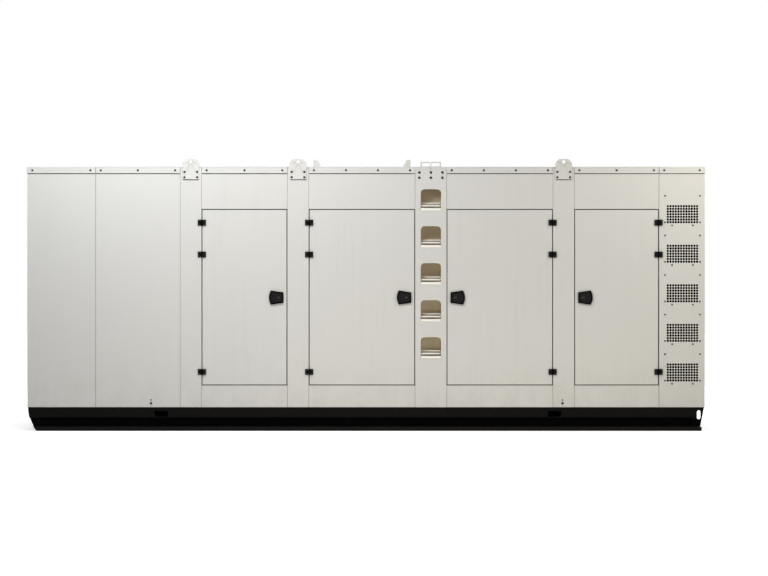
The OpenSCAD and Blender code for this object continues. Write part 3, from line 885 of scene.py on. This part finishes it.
@dataclass(frozen=True)
class FastenerTree(PointTree):
    """Puts one fastener on each point, turned to face outwards."""

    name: str = "fastener_heads"
    sizes: tuple[str, ...] = ("Head Radius", "Head Height", "Crown Height", "Washer Radius", "Washer Height")
    counts: tuple[str, ...] = ("Sides",)
    seed: int = 7
    spin: float = math.radians(60)
    crown_share: float = 0.74
    rim_share: float = 0.94
    washer_sides: int = 24

    def shape(self, graph: Graph, source: Any) -> Socket:
        """Builds one fastener that stands on its base: washer, head and crown.

        Args:
            graph: The tree's graph.
            source: The tree's input sockets.

        Returns:
            The geometry socket.
        """
        sides, radius, height = source["Sides"], source["Head Radius"], source["Head Height"]
        washer, thickness = source["Washer Radius"], source["Washer Height"]
        top = graph.math("ADD", thickness, height)
        crown = graph.math("MULTIPLY", radius, self.crown_share)
        rim = graph.math("MULTIPLY", washer, self.rim_share)
        layers = (
            (self.washer_sides, washer, rim, thickness, 0.0),
            (sides, radius, radius, height, thickness),
            (sides, radius, crown, source["Crown Height"], top),
        )
        join = graph.node("GeometryNodeJoinGeometry")
        for count, low, high, depth, lift in layers:
            inputs = {"Vertices": count, "Radius Bottom": low, "Radius Top": high, "Depth": depth}
            cone = graph.node("GeometryNodeMeshCone", inputs).outputs["Mesh"]
            lifted = {"Geometry": cone, "Translation": graph.vector(Z=lift)}
            graph.feed(join.inputs[0], graph.node("GeometryNodeTransform", lifted).outputs[0])
        return join.outputs[0]

    def turn(self, graph: Graph, source: Any) -> Socket:
        """Turns each head to its facing, with a seeded turn about its own axis.

        Args:
            graph: The tree's graph.
            source: The tree's input sockets.

        Returns:
            The rotation socket.
        """
        facing = graph.node("GeometryNodeInputNamedAttribute", {"Name": "facing"}, data_type="FLOAT_VECTOR")
        aligned = graph.node("FunctionNodeAlignRotationToVector", {"Vector": facing.outputs[0]}, axis="Z")
        # Input 3 is the largest number that the node draws, and output 1 is the number.
        spin = graph.node("FunctionNodeRandomValue", {"Seed": self.seed, 3: self.spin}, data_type="FLOAT")
        axis = {"Axis": (0.0, 0.0, 1.0), "Angle": spin.outputs[1]}
        twist = graph.node("FunctionNodeAxisAngleToRotation", axis)
        both = {"Rotation": aligned.outputs[0], "Rotate By": twist.outputs[0]}
        return graph.node("FunctionNodeRotateRotation", both, rotation_space="LOCAL").outputs[0]


@dataclass(frozen=True)
class BarTree(PointTree):
    """Lays one tapered bar along X on each point, tilted to the slope it lies on."""

    name: str = "tapered_bars"
    sizes: tuple[str, ...] = ("Half Length", "Foot Width", "Crown Width", "Height", "Tilt")

    def shape(self, graph: Graph, source: Any) -> Socket:
        """Builds one bar, a tapered section drawn along a line.

        Args:
            graph: The tree's graph.
            source: The tree's input sockets.

        Returns:
            The geometry socket.
        """
        near = graph.vector(X=graph.math("MULTIPLY", source["Half Length"], -1.0))
        far = graph.vector(X=source["Half Length"])
        line = graph.node("GeometryNodeCurvePrimitiveLine", {"Start": near, "End": far}).outputs[0]
        # The line carries the section upside down, so the section's bottom is the bar's crown.
        sizes = {
            "Height": source["Height"],
            "Bottom Width": source["Crown Width"],
            "Top Width": source["Foot Width"],
            "Offset": 0.0,
        }
        section = graph.node("GeometryNodeCurvePrimitiveQuadrilateral", sizes, mode="TRAPEZOID").outputs[0]
        drawn = {"Curve": line, "Profile Curve": section, "Fill Caps": True}
        return graph.node("GeometryNodeCurveToMesh", drawn).outputs[0]

    def turn(self, graph: Graph, source: Any) -> Socket:
        """Returns the tilt about X."""
        return graph.vector(X=source["Tilt"])


class HeadStyle(Enum):
    """Sides of a fastener's head."""

    HEX = 6
    PAN = 18


@dataclass(frozen=True)
class Head:
    """Sizes of one kind of fastener."""

    style: HeadStyle = HeadStyle.HEX
    radius: float = 0.0095
    height: float = 0.006
    crown: float = 0.0015
    washer: float = 0.0125
    washer_height: float = 0.002


@dataclass
class Fasteners:
    """One set of like fasteners on one body."""

    name: str
    body: str
    spots: list[Spot]
    finish: Material
    head: Head
    slot: str = "fitting_black"

    def build(self) -> None:
        """Makes the set as one plain mesh and hangs it on its body."""
        points = bpy.data.meshes.new(self.name + "_points")
        points.from_pydata([spot for spot, _ in self.spots], [], [])
        facing = points.attributes.new("facing", "FLOAT_VECTOR", "POINT")
        for item, (_, way) in zip(facing.data, self.spots, strict=True):
            item.vector = way
        values = {
            "Sides": self.head.style.value,
            "Head Radius": self.head.radius,
            "Head Height": self.head.height,
            "Crown Height": self.head.crown,
            "Washer Radius": self.head.washer,
            "Washer Height": self.head.washer_height,
            "Finish": self.finish,
        }
        add_piece(self.name, FastenerTree().grow(self.name, points, values), self.body)


def both_sides(x: float, y: float, z: float) -> list[Spot]:
    """Returns a fastener's spot on the ladder side and its like on the far side."""
    return [(Vector((x, -y, z)), FRONT), (Vector((x, y, z)), REAR)]


@dataclass
class RoofBolts:
    """Dark bolts along the roof flange of the long sides, and screws of the end walls.

    Each pair in counts is a bay and the number of bolts in its length of flange.
    """

    bays: Bays
    finish: Material
    bolt: Head = Head(radius=0.0075, washer=0.0095)
    inset: float = 0.046
    counts: tuple[tuple[int, int], ...] = ((0, 2), (1, 3), (3, 3), (5, 4), (7, 4), (9, 3), (10, 2))
    screw: Head = Head(HeadStyle.PAN, 0.0065, 0.001, 0.0012, 0.0085, 0.0008)
    end_count: int = 7
    end_rows: Span = (0.25, 2.24)
    end_reach: float = 0.94

    def build(self) -> None:
        """Makes the rows on the long sides and the ends."""
        spots: list[Spot] = []
        for bay, count in self.counts:
            low = self.bays.start(bay) + self.inset
            for x in spread(low, low + self.bays.widths[bay] - 2 * self.inset, count):
                spots += both_sides(x, self.bays.post, self.bays.flange)
        ends: list[Spot] = []
        for y in spread(-self.end_reach, self.end_reach, self.end_count):
            for z in self.end_rows:
                for side in SIDES:
                    ends.append((Vector((side * self.bays.gable, y, z)), Vector((side, 0.0, 0.0))))
        Fasteners("roof_flange_bolts", ROOT, spots, self.finish, self.bolt).build()
        Fasteners("end_wall_screws", ROOT, ends, self.finish, self.screw).build()


@dataclass
class PostBolts:
    """Bolts of the lifting lugs, the top of the ladder column and the earthing points.

    The first earthing point lies earth_back before the start of its bay, the second before its middle.
    """

    bays: Bays
    finish: Material
    lug_bolt: Head = Head(HeadStyle.HEX, 0.0085, 0.0022, 0.0008, 0.0108, 0.0008)
    lug_half: float = 0.056
    lug_rows: Span = (2.29, 2.242)
    ladder_bolt: Head = Head(radius=0.0092, washer=0.0117)
    ladder_half: float = 0.102
    ladder_rows: Span = (2.286, 2.239)
    earth_bays: tuple[int, int] = (2, 8)
    earth_back: Span = (0.259, 0.01)
    earth_heads: tuple[tuple[str, Head, float], ...] = (
        ("earth_bolts", Head(radius=0.0085, washer=0.01105), 0.245),
        ("earth_screws", Head(radius=0.005, washer=0.0065), 0.274),
    )

    def build(self) -> None:
        """Makes the lug bolts, the ladder bolts and the earthing bolts."""
        spots: list[Spot] = []
        for post in self.bays.posts:
            for side in SIDES:
                for z in self.lug_rows:
                    spots += both_sides(self.bays.middle(post) + side * self.lug_half, self.bays.lug, z)
        Fasteners("lifting_lug_bolts", ROOT, spots, self.finish, self.lug_bolt).build()
        middle = self.bays.middle(self.bays.ladder)
        top = [
            (Vector((middle + step * self.ladder_half, -self.bays.post, z)), FRONT)
            for step in (-1, 0, 1)
            for z in self.ladder_rows
        ]
        Fasteners("ladder_bolts", ROOT, top, self.finish, self.ladder_bolt).build()
        panel_x = self.bays.start(self.earth_bays[0]) - self.earth_back[0]
        post_x = self.bays.middle(self.earth_bays[1]) - self.earth_back[1]
        for name, head, z in self.earth_heads:
            panel_spot = (Vector((panel_x, -self.bays.wall, z)), FRONT)
            post_spot = (Vector((post_x, -self.bays.post, z)), FRONT)
            Fasteners(name, ROOT, [panel_spot, post_spot], self.finish, head).build()


@dataclass
class IntakeScrews:
    """Pan-head screws around each perforated field, which hold the hood behind it."""

    bays: Bays
    finish: Material
    screw: Head = Head(HeadStyle.PAN, radius=0.0062, height=0.0022, washer=0.008)
    fields: int = 5
    shift: float = 0.005
    first: float = 0.517
    pitch: float = 0.35
    offsets: tuple[Span, ...] = (
        (-0.1545, 0.162),
        (0.1545, 0.162),
        (-0.1545, -0.072),
        (0.1545, -0.072),
        (-0.092, -0.1),
        (0.092, -0.1),
    )

    def build(self) -> None:
        """Makes the screws on both long sides."""
        middle = self.bays.middle(self.bays.intake) + self.shift
        spots: list[Spot] = []
        for row in range(self.fields):
            for across, up in self.offsets:
                spots += both_sides(middle + across, self.bays.wall, self.first + row * self.pitch + up)
        Fasteners("intake_screws", ROOT, spots, self.finish, self.screw).build()


@dataclass
class HingeScrews:
    """Two screws in each hinge leaf."""

    bays: Bays
    finish: Material
    screw: Head = Head(HeadStyle.PAN, 0.0045, 0.0009, 0.0009, 0.0058, 0.0006)
    heights: tuple[float, ...] = (0.522, 1.56, 1.842)
    pin_in: float = 0.004
    leaf: float = 0.0235
    rise: float = 0.014
    face: float = 1.063

    def build(self) -> None:
        """Makes the screws of the frame leaves and of each door's leaves."""
        fixed: list[Spot] = []
        for number, bay in enumerate(self.bays.doors, 1):
            left = bay < self.bays.ladder
            pin = self.bays.start(bay) + self.pin_in if left else self.bays.start(bay + 1) - self.pin_in
            inward = 1 if left else -1
            hung: list[Spot] = []
            for z in self.heights:
                for up in (-self.rise, self.rise):
                    hung.append((Vector((pin + inward * self.leaf, -self.face, z + up)), FRONT))
                    fixed.append((Vector((pin - inward * self.leaf, -self.face, z + up)), FRONT))
                    for way in SIDES:
                        fixed.append((Vector((pin + way * self.leaf, self.face, z + up)), REAR))
            Fasteners(f"door_{number}_hinge_screws", f"door_{number}", hung, self.finish, self.screw).build()
        Fasteners("frame_hinge_screws", ROOT, fixed, self.finish, self.screw).build()


@dataclass
class TreadGripShade:
    """Ribbed grip coat on the rising part of each tread, brown as painted shade on the tread's slope.

    That part runs from nose to upstand, each given back from the tread's front and up from its foot.
    A bed or a rib is given by the width of its foot and its height.
    """

    bays: Bays
    finish: Material
    steps: int = 5
    overall: float = 0.073
    nose: Span = (0.022, 0.048)
    upstand: Span = (0.08, 0.06)
    half_length: float = 0.083
    bed: Span = (0.05, 0.0008)
    rib: Span = (0.0058, 0.0013)
    ribs: int = 6
    rib_reach: Span = (0.12, 0.88)
    taper: float = 0.6

    def build(self) -> None:
        """Makes the bed strips and the ribs that stand on them."""
        low, high = (Vector(corner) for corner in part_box("step_treads"))
        middle = self.bays.middle(self.bays.ladder)
        run, rise = self.upstand[0] - self.nose[0], self.upstand[1] - self.nose[1]
        slope = math.atan2(rise, run)
        along = Vector((0.0, run, rise))
        out = Vector((0.0, -math.sin(slope), math.cos(slope)))
        beds: list[Vector] = []
        ribs: list[Vector] = []
        for z in spread(low.z, high.z - self.overall, self.steps):
            start = Vector((middle, low.y + self.nose[0], z + self.nose[1]))
            beds.append(start + along * 0.5 + out * self.bed[1] / 2)
            for share in spread(*self.rib_reach, self.ribs):
                ribs.append(start + along * share + out * (self.bed[1] + self.rib[1] / 2))
        # The brown beds and ribs paint in the shade that falls on the tread's slope.
        self.make("tread_grip_shade_beds", beds, self.bed, slope)
        self.make("tread_grip_shade_ribs", ribs, self.rib, slope)

    def make(self, name: str, places: list[Vector], size: Span, slope: float) -> None:
        """Makes one set of bars as a plain mesh.

        Args:
            name: The piece's name.
            places: The middle of each bar.
            size: Width of a bar's foot, and its height.
            slope: Slope of the tread, in radians.
        """
        points = bpy.data.meshes.new(name + "_points")
        points.from_pydata(places, [], [])
        width, height = size
        values = {
            "Half Length": self.half_length,
            "Foot Width": width,
            "Crown Width": width - 2 * height * self.taper,
            "Height": height,
            "Tilt": slope,
            "Finish": self.finish,
        }
        shape = bmesh.new()
        shape.from_mesh(BarTree().grow(name, points, values))
        add_piece(name, from_bmesh(shape, self.finish), ROOT)


@dataclass
class LugShadowStrips:
    """Dark rubber strip along the lower edge of each lifting lug against its post: a painted shadow under
    the lug.
    """

    bays: Bays
    finish: Material
    half: float = 0.069
    tall: float = 0.0052
    deep: float = 0.0085
    top: float = 2.224
    points: int = 6

    def build(self) -> None:
        """Makes the strips of both long sides as one piece, each with a quarter-round lower edge."""
        section = [(0.0, self.top)]
        for turn in spread(0.0, math.pi / 2, self.points):
            section.append((self.deep * math.cos(turn), self.top - self.tall * math.sin(turn)))
        shape = bmesh.new()
        for post in self.bays.posts:
            middle = self.bays.middle(post)
            for side in SIDES:
                ends = (middle - self.half, middle + self.half)
                loft(shape, [[(x, side * (self.bays.post + out), z) for out, z in section] for x in ends])
        add_piece("lug_shadow_strips", from_bmesh(shape, self.finish), ROOT)


@dataclass
class PanelSeams:
    """Painted-over sealant, pressed hollow, in the joint between the two blank panels of each long side."""

    bays: Bays
    finish: Material
    half: float = 0.00145
    face: float = 1.0493
    depth: float = 0.0032
    hollow: float = 0.0009
    heights: Span = (0.213, 2.27)
    points: int = 7

    def build(self) -> None:
        """Makes the two runs of sealant as one piece."""
        x = self.bays.start(1)
        back = self.face - self.depth
        section = [(x - self.half, back), (x + self.half, back)]
        for share in spread(1.0, -1.0, self.points):
            section.append((x + share * self.half, self.face - self.hollow * (1 - share * share)))
        shape = bmesh.new()
        for side in SIDES:
            loft(shape, [[(u, side * v, z) for u, v in section] for z in self.heights])
        add_piece("panel_seam_sealant", from_bmesh(shape, self.finish), ROOT)


@dataclass
class DoorLiner:
    """Perforated inner sheet in the recess of one door, cross-broken to stiffen it."""

    name: str
    body: str
    low: Vector
    high: Vector
    outward: int
    sheet: Material
    rivet: Material
    rivet_head: Head = Head(HeadStyle.PAN, 0.004, 0.0004, 0.001, 0.0045, 0.0004)
    rivet_rows: tuple[int, int] = (6, 4)
    rim: float = 0.0415
    margin: float = 0.022
    recess: float = 0.006
    edge: float = 0.0015
    rise: float = 0.003
    peak: float = 0.0055

    def build(self) -> None:
        """Makes the sheet and its rivets."""
        x0, x1 = self.low.x + self.rim, self.high.x - self.rim
        z0, z1 = self.low.z + self.rim, self.high.z - self.rim
        inner = self.low.y if self.outward > 0 else self.high.y
        back = inner + self.outward * self.recess
        rings = []
        for shrink, lift in ((0.0, 0.0), (0.0, self.edge), (self.margin, self.rise)):
            y = back - self.outward * lift
            left, right, foot, head = x0 + shrink, x1 - shrink, z0 + shrink, z1 - shrink
            rings.append([(left, y, foot), (right, y, foot), (right, y, head), (left, y, head)])
        rings.append([((x0 + x1) / 2, back - self.outward * self.peak, (z0 + z1) / 2)])
        shape = bmesh.new()
        loft(shape, rings)
        add_piece(self.name, from_bmesh(shape, self.sheet), self.body)
        in_by = self.margin / 2
        self.add_rivets((x0 + in_by, x1 - in_by), (z0 + in_by, z1 - in_by), back)

    def add_rivets(self, across: Span, up: Span, back: float) -> None:
        """Adds the rivets around the sheet.

        Args:
            across: Lowest and highest place of a rivet along X.
            up: Lowest and highest place of a rivet along Z.
            back: The back of the sheet along Y.
        """
        y = back - self.outward * (self.edge + self.rise) / 2
        places = [(x, z) for z in spread(*up, self.rivet_rows[0]) for x in across]
        places += [(x, z) for x in spread(*across, self.rivet_rows[1])[1:-1] for z in up]
        way = REAR if self.outward < 0 else FRONT
        spots = [(Vector((x, y, z)), way) for x, z in places]
        name = self.name + "_rivets"
        Fasteners(name, self.body, spots, self.rivet, self.rivet_head, slot="galvanised").build()


@dataclass
class DoorLiners:
    """The liners of all doors, on the ladder side and the far side."""

    bays: Bays
    palette: Palette
    gap: float = 0.008

    def build(self) -> None:
        """Makes a liner for each moving door and each fixed one."""
        sheet, rivet = self.palette.made["liner_sheet"], self.palette.made["galvanised"]
        far_low, far_high = (Vector(corner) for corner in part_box("rear_doors"))
        for number, bay in enumerate(self.bays.doors, 1):
            low, high = (Vector(corner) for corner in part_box(f"door_{number}"))
            DoorLiner(f"door_{number}_liner", f"door_{number}", low, high, -1, sheet, rivet).build()
            start = self.bays.start(bay) + self.gap
            low = Vector((start, far_low.y, far_low.z))
            high = Vector((start + self.bays.widths[bay] - 2 * self.gap, far_high.y, far_high.z))
            DoorLiner(f"rear_door_{number}_liner", ROOT, low, high, 1, sheet, rivet).build()


class TrimFace(Enum):
    """Places of a latch trim's materials in its mesh."""

    RIDGE = 0
    KEYWAY = 1
    BARREL = 2


@dataclass
class LatchTrim:
    """Finger ridge and steel key barrel on one latch paddle.

    Each ring of the barrel is a radius and a height off the paddle's face.
    """

    name: str
    body: str
    pivot: Vector
    inward: int
    outward: int
    materials: list[Material]
    ridge_steps: int = 14
    ridge_points: int = 7
    ridge_at: float = 0.084
    ridge_half: float = 0.037
    ridge_width: float = 0.006
    ridge_height: float = 0.0028
    ridge_end: float = 0.0007
    bow_radius: float = 0.117
    barrel_at: float = 0.026
    barrel_sides: int = 28
    barrel: tuple[Span, ...] = (
        (0.0128, 0.0),
        (0.0128, 0.0012),
        (0.0112, 0.0024),
        (0.0096, 0.0026),
        (0.0088, 0.0016),
    )
    keyway: tuple[Point, ...] = ((0.0011, 0.0055, 0.0017), (0.0008, 0.004, 0.0021))

    def point(self, along: float, up: float, out: float) -> Vector:
        """Returns a point given from the paddle's pin line, its middle and its face."""
        x = self.pivot.x + self.inward * along
        return Vector((x, self.pivot.y + self.outward * out, self.pivot.z + up))

    def build(self) -> None:
        """Makes the trim as one piece."""
        shape = bmesh.new()
        loft(shape, self.ridge_rings(), TrimFace.RIDGE.value)
        loft(shape, self.barrel_rings(), TrimFace.BARREL.value)
        loft(shape, self.keyway_rings(), TrimFace.KEYWAY.value)
        add_piece(self.name, from_bmesh(shape, *self.materials), self.body)

    def ridge_rings(self) -> list[list[Vector]]:
        """Shapes the bowed ridge that the fingers pull.

        Returns:
            One half-round ring for each step along the ridge, low at both ends.
        """
        turns = spread(0.0, math.pi, self.ridge_points)
        section = [(math.cos(turn) * self.ridge_width, math.sin(turn)) for turn in turns]
        steps = spread(-self.ridge_half, self.ridge_half, self.ridge_steps)
        rings = []
        for up in steps:
            at = self.ridge_at + math.sqrt(self.bow_radius**2 - up**2) - self.bow_radius
            height = self.ridge_end if up in (steps[0], steps[-1]) else self.ridge_height
            rings.append([self.point(at + u, up, v * height) for u, v in section])
        return rings

    def barrel_rings(self) -> list[list[Vector]]:
        """Shapes the round key barrel.

        Returns:
            One round ring for each radius and height of the barrel.
        """
        turns = spread(0.0, 2 * math.pi, self.barrel_sides + 1)[:-1]
        around = [(math.cos(turn), math.sin(turn)) for turn in turns]
        return [
            [self.point(self.barrel_at + radius * u, radius * v, out) for u, v in around]
            for radius, out in self.barrel
        ]

    def keyway_rings(self) -> list[list[Vector]]:
        """Shapes the dark keyway bar on the barrel's face.

        Returns:
            One rectangle for each half width, half height and height off the paddle.
        """
        rings = []
        for half, tall, out in self.keyway:
            corners = ((-half, -tall), (half, -tall), (half, tall), (-half, tall))
            rings.append([self.point(self.barrel_at + u, v, out) for u, v in corners])
        return rings


@dataclass
class LatchTrims:
    """The trims of every latch, on the ladder side and the far side."""

    bays: Bays
    palette: Palette
    finishes: tuple[str, ...] = ("paddle_black", "rubber_black", "barrel_steel")
    pin_in: float = 0.004
    height: float = 1.179

    def build(self) -> None:
        """Makes the trims."""
        materials = [self.palette.made[name] for name in self.finishes]
        for number, bay in enumerate(self.bays.doors, 1):
            low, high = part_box(f"latch_{number}_paddle")
            left = bay < self.bays.ladder
            x = high[0] - self.pin_in if left else low[0] + self.pin_in
            inward = -1 if left else 1
            pivot = Vector((x, low[1], self.height))
            LatchTrim(f"latch_{number}_trim", f"paddle_{number}", pivot, inward, -1, materials).build()
            pivot = Vector((x, -low[1], self.height))
            LatchTrim(f"rear_latch_{number}_trim", ROOT, pivot, inward, 1, materials).build()


@dataclass(frozen=True)
class Lamp:
    """One soft studio lamp that faces the set."""

    name: str
    place: Point
    target: Point
    size: Span
    power: float
    color: Color = WHITE

    def build(self) -> None:
        """Hangs the lamp. Glossy sheets mirror the white surround and not the lamp."""
        data = bpy.data.lights.new(self.name, "AREA")
        data.shape = "RECTANGLE"
        data.size, data.size_y = self.size
        data.energy = self.power
        data.color = self.color
        lamp = bpy.data.objects.new(self.name, data)
        lamp.visible_glossy = False
        way = Vector(self.target) - Vector(self.place)
        turn = way.to_track_quat("-Z", "Y").to_matrix().to_4x4()
        lamp.matrix_world = Matrix.Translation(self.place) @ turn
        bpy.context.scene.collection.objects.link(lamp)


@dataclass
class Studio:
    """Pale floor, white surround, soft lamps and the camera of the photograph's view.

    The camera looks along Y at centre, given along X and Z, and sees view_width at the set's face.
    """

    world_light: float = 0.125
    floor_half: float = 45.0
    floor_level: float = -0.0005
    floor_tones: tuple[Color, Color] = ((0.74, 0.74, 0.74), (0.77, 0.77, 0.77))
    floor_grain: float = 3.0
    floor_roughness: float = 0.9
    floor_glow: float = 0.55
    floor_fade: Span = (3.2, 7.5)
    distance: float = 22.0
    face: float = -1.054
    centre: Span = (0.159, 1.264)
    view_width: float = 6.7907
    sensor: float = 36.0
    far: float = 300.0
    lamps: tuple[Lamp, ...] = (
        Lamp("fill_lamp", (8.5, -9.0, 4.0), (1.0, -1.0, 1.1), (6.0, 5.0), 160.0, (1.0, 0.96, 0.85)),
        Lamp("high_lamp", (-1.7, -4.5, 5.5), (-1.4, -1.0, 2.2), (3.0, 2.0), 79.3, (0.93, 0.96, 1.0)),
        Lamp("key_lamp", (-1.4, -3.6, 3.8), (-1.2, -1.0, 2.2), (2.4, 1.4), 79.8, (0.93, 0.96, 1.0)),
        Lamp("right_lamp", (3.4, -2.6, 2.8), (2.8, -1.0, 2.0), (1.2, 1.0), 21.0, (1.0, 0.98, 0.93)),
        Lamp("left_lamp", (-2.7, -2.4, 2.8), (-2.3, -1.0, 2.2), (1.6, 1.0), 5.3, (0.82, 0.9, 1.0)),
        Lamp("sill_lamp", (1.0, -2.6, 0.4), (1.0, -1.0, 0.35), (4.4, 0.4), 8.2, (1.0, 0.96, 0.85)),
        Lamp("top_lamp", (0.0, 1.5, 8.5), (0.0, 0.0, 1.0), (8.0, 5.0), 90.0),
        Lamp("rear_lamp", (1.0, 9.0, 3.6), (0.0, 1.0, 1.2), (8.0, 3.0), 430.0),
        Lamp("near_end_lamp", (-10.0, 1.5, 3.2), (-3.0, 0.0, 1.2), (4.0, 3.0), 270.0),
        Lamp("far_end_lamp", (10.0, 1.5, 3.2), (3.0, 0.0, 1.2), (4.0, 3.0), 270.0),
    )

    def build(self) -> None:
        """Sets up the studio."""
        bpy.context.scene.view_settings.view_transform = "Standard"
        self.build_world()
        self.build_floor()
        for lamp in self.lamps:
            lamp.build()
        self.build_camera()

    def seen(self, graph: Graph) -> Socket:
        """Returns 1 for rays that see the surround: camera, glossy and transmission rays."""
        path = graph.node("ShaderNodeLightPath").outputs
        seen = graph.math("MAXIMUM", path["Is Camera Ray"], path["Is Glossy Ray"])
        return graph.math("MAXIMUM", seen, path["Is Transmission Ray"])

    def build_world(self) -> None:
        """Makes a surround that looks white and gives a plain soft light."""
        world = bpy.data.worlds.new("studio")
        bpy.context.scene.world = world
        world.use_nodes = True
        graph = Graph(world.node_tree)
        back = world.node_tree.nodes["Background"]
        graph.feed(back.inputs["Color"], WHITE)
        share = graph.math("MULTIPLY_ADD", self.seen(graph), 1.0 - self.world_light, self.world_light)
        graph.feed(back.inputs["Strength"], share)

    def build_floor(self) -> None:
        """Makes the pale floor, which keeps the set's shadow."""
        half, level = self.floor_half, self.floor_level
        mesh = bpy.data.meshes.new("studio_floor")
        corners = [(-half, -half, level), (half, -half, level), (half, half, level), (-half, half, level)]
        mesh.from_pydata(corners, [], [(0, 1, 2, 3)])
        mesh.materials.append(self.floor_finish())
        floor = bpy.data.objects.new("studio_floor", mesh)
        bpy.context.scene.collection.objects.link(floor)

    def floor_finish(self) -> Material:
        """Returns the floor's finish, which looks white to the camera further out."""
        shader = Shader("pale_floor")
        graph = shader.graph
        grain = graph.noise(shader.position, self.floor_grain, detail=3.0)
        away = graph.node("ShaderNodeVectorMath", {0: shader.position}, operation="LENGTH").outputs["Value"]
        far = graph.ramp(away, *self.floor_fade)
        share = graph.math("MULTIPLY_ADD", far, 1.0 - self.floor_glow, self.floor_glow)
        return shader.finish(
            Base_Color=graph.mix(grain, *self.floor_tones),
            Roughness=self.floor_roughness,
            Emission_Color=WHITE,
            Emission_Strength=graph.math("MULTIPLY", self.seen(graph), share),
        )

    def build_camera(self) -> None:
        """Places the camera square-on, at the photograph's scale and framing."""
        data = bpy.data.cameras.new("camera")
        data.sensor_fit = "HORIZONTAL"
        data.sensor_width = self.sensor
        data.lens = self.sensor * self.distance / self.view_width
        data.clip_end = self.far
        camera = bpy.data.objects.new("camera", data)
        camera.location = (self.centre[0], self.face - self.distance, self.centre[1])
        camera.rotation_euler = (math.radians(90), 0.0, 0.0)
        bpy.context.scene.collection.objects.link(camera)
        bpy.context.scene.camera = camera


def main() -> None:
    """Builds the looks of the set in order."""
    logging.basicConfig(level=logging.INFO, format="%(name)s: %(message)s")
    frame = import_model()
    bays = Bays()
    palette = Palette()
    palette.build()
    made = palette.made
    Dresser(palette).dress(frame)
    RoofBolts(bays, made["dark_bolt"]).build()
    PostBolts(bays, made["dark_bolt"]).build()
    IntakeScrews(bays, made["dark_bolt"]).build()
    HingeScrews(bays, made["dark_bolt"]).build()
    TreadGripShade(bays, made["grip_shade_coat"]).build()
    LugShadowStrips(bays, made["rubber_black"]).build()
    PanelSeams(bays, made["seam_sealant"]).build()
    DoorLiners(bays, palette).build()
    LatchTrims(bays, palette).build()
    Studio().build()


if __name__ == "__main__":
    main()
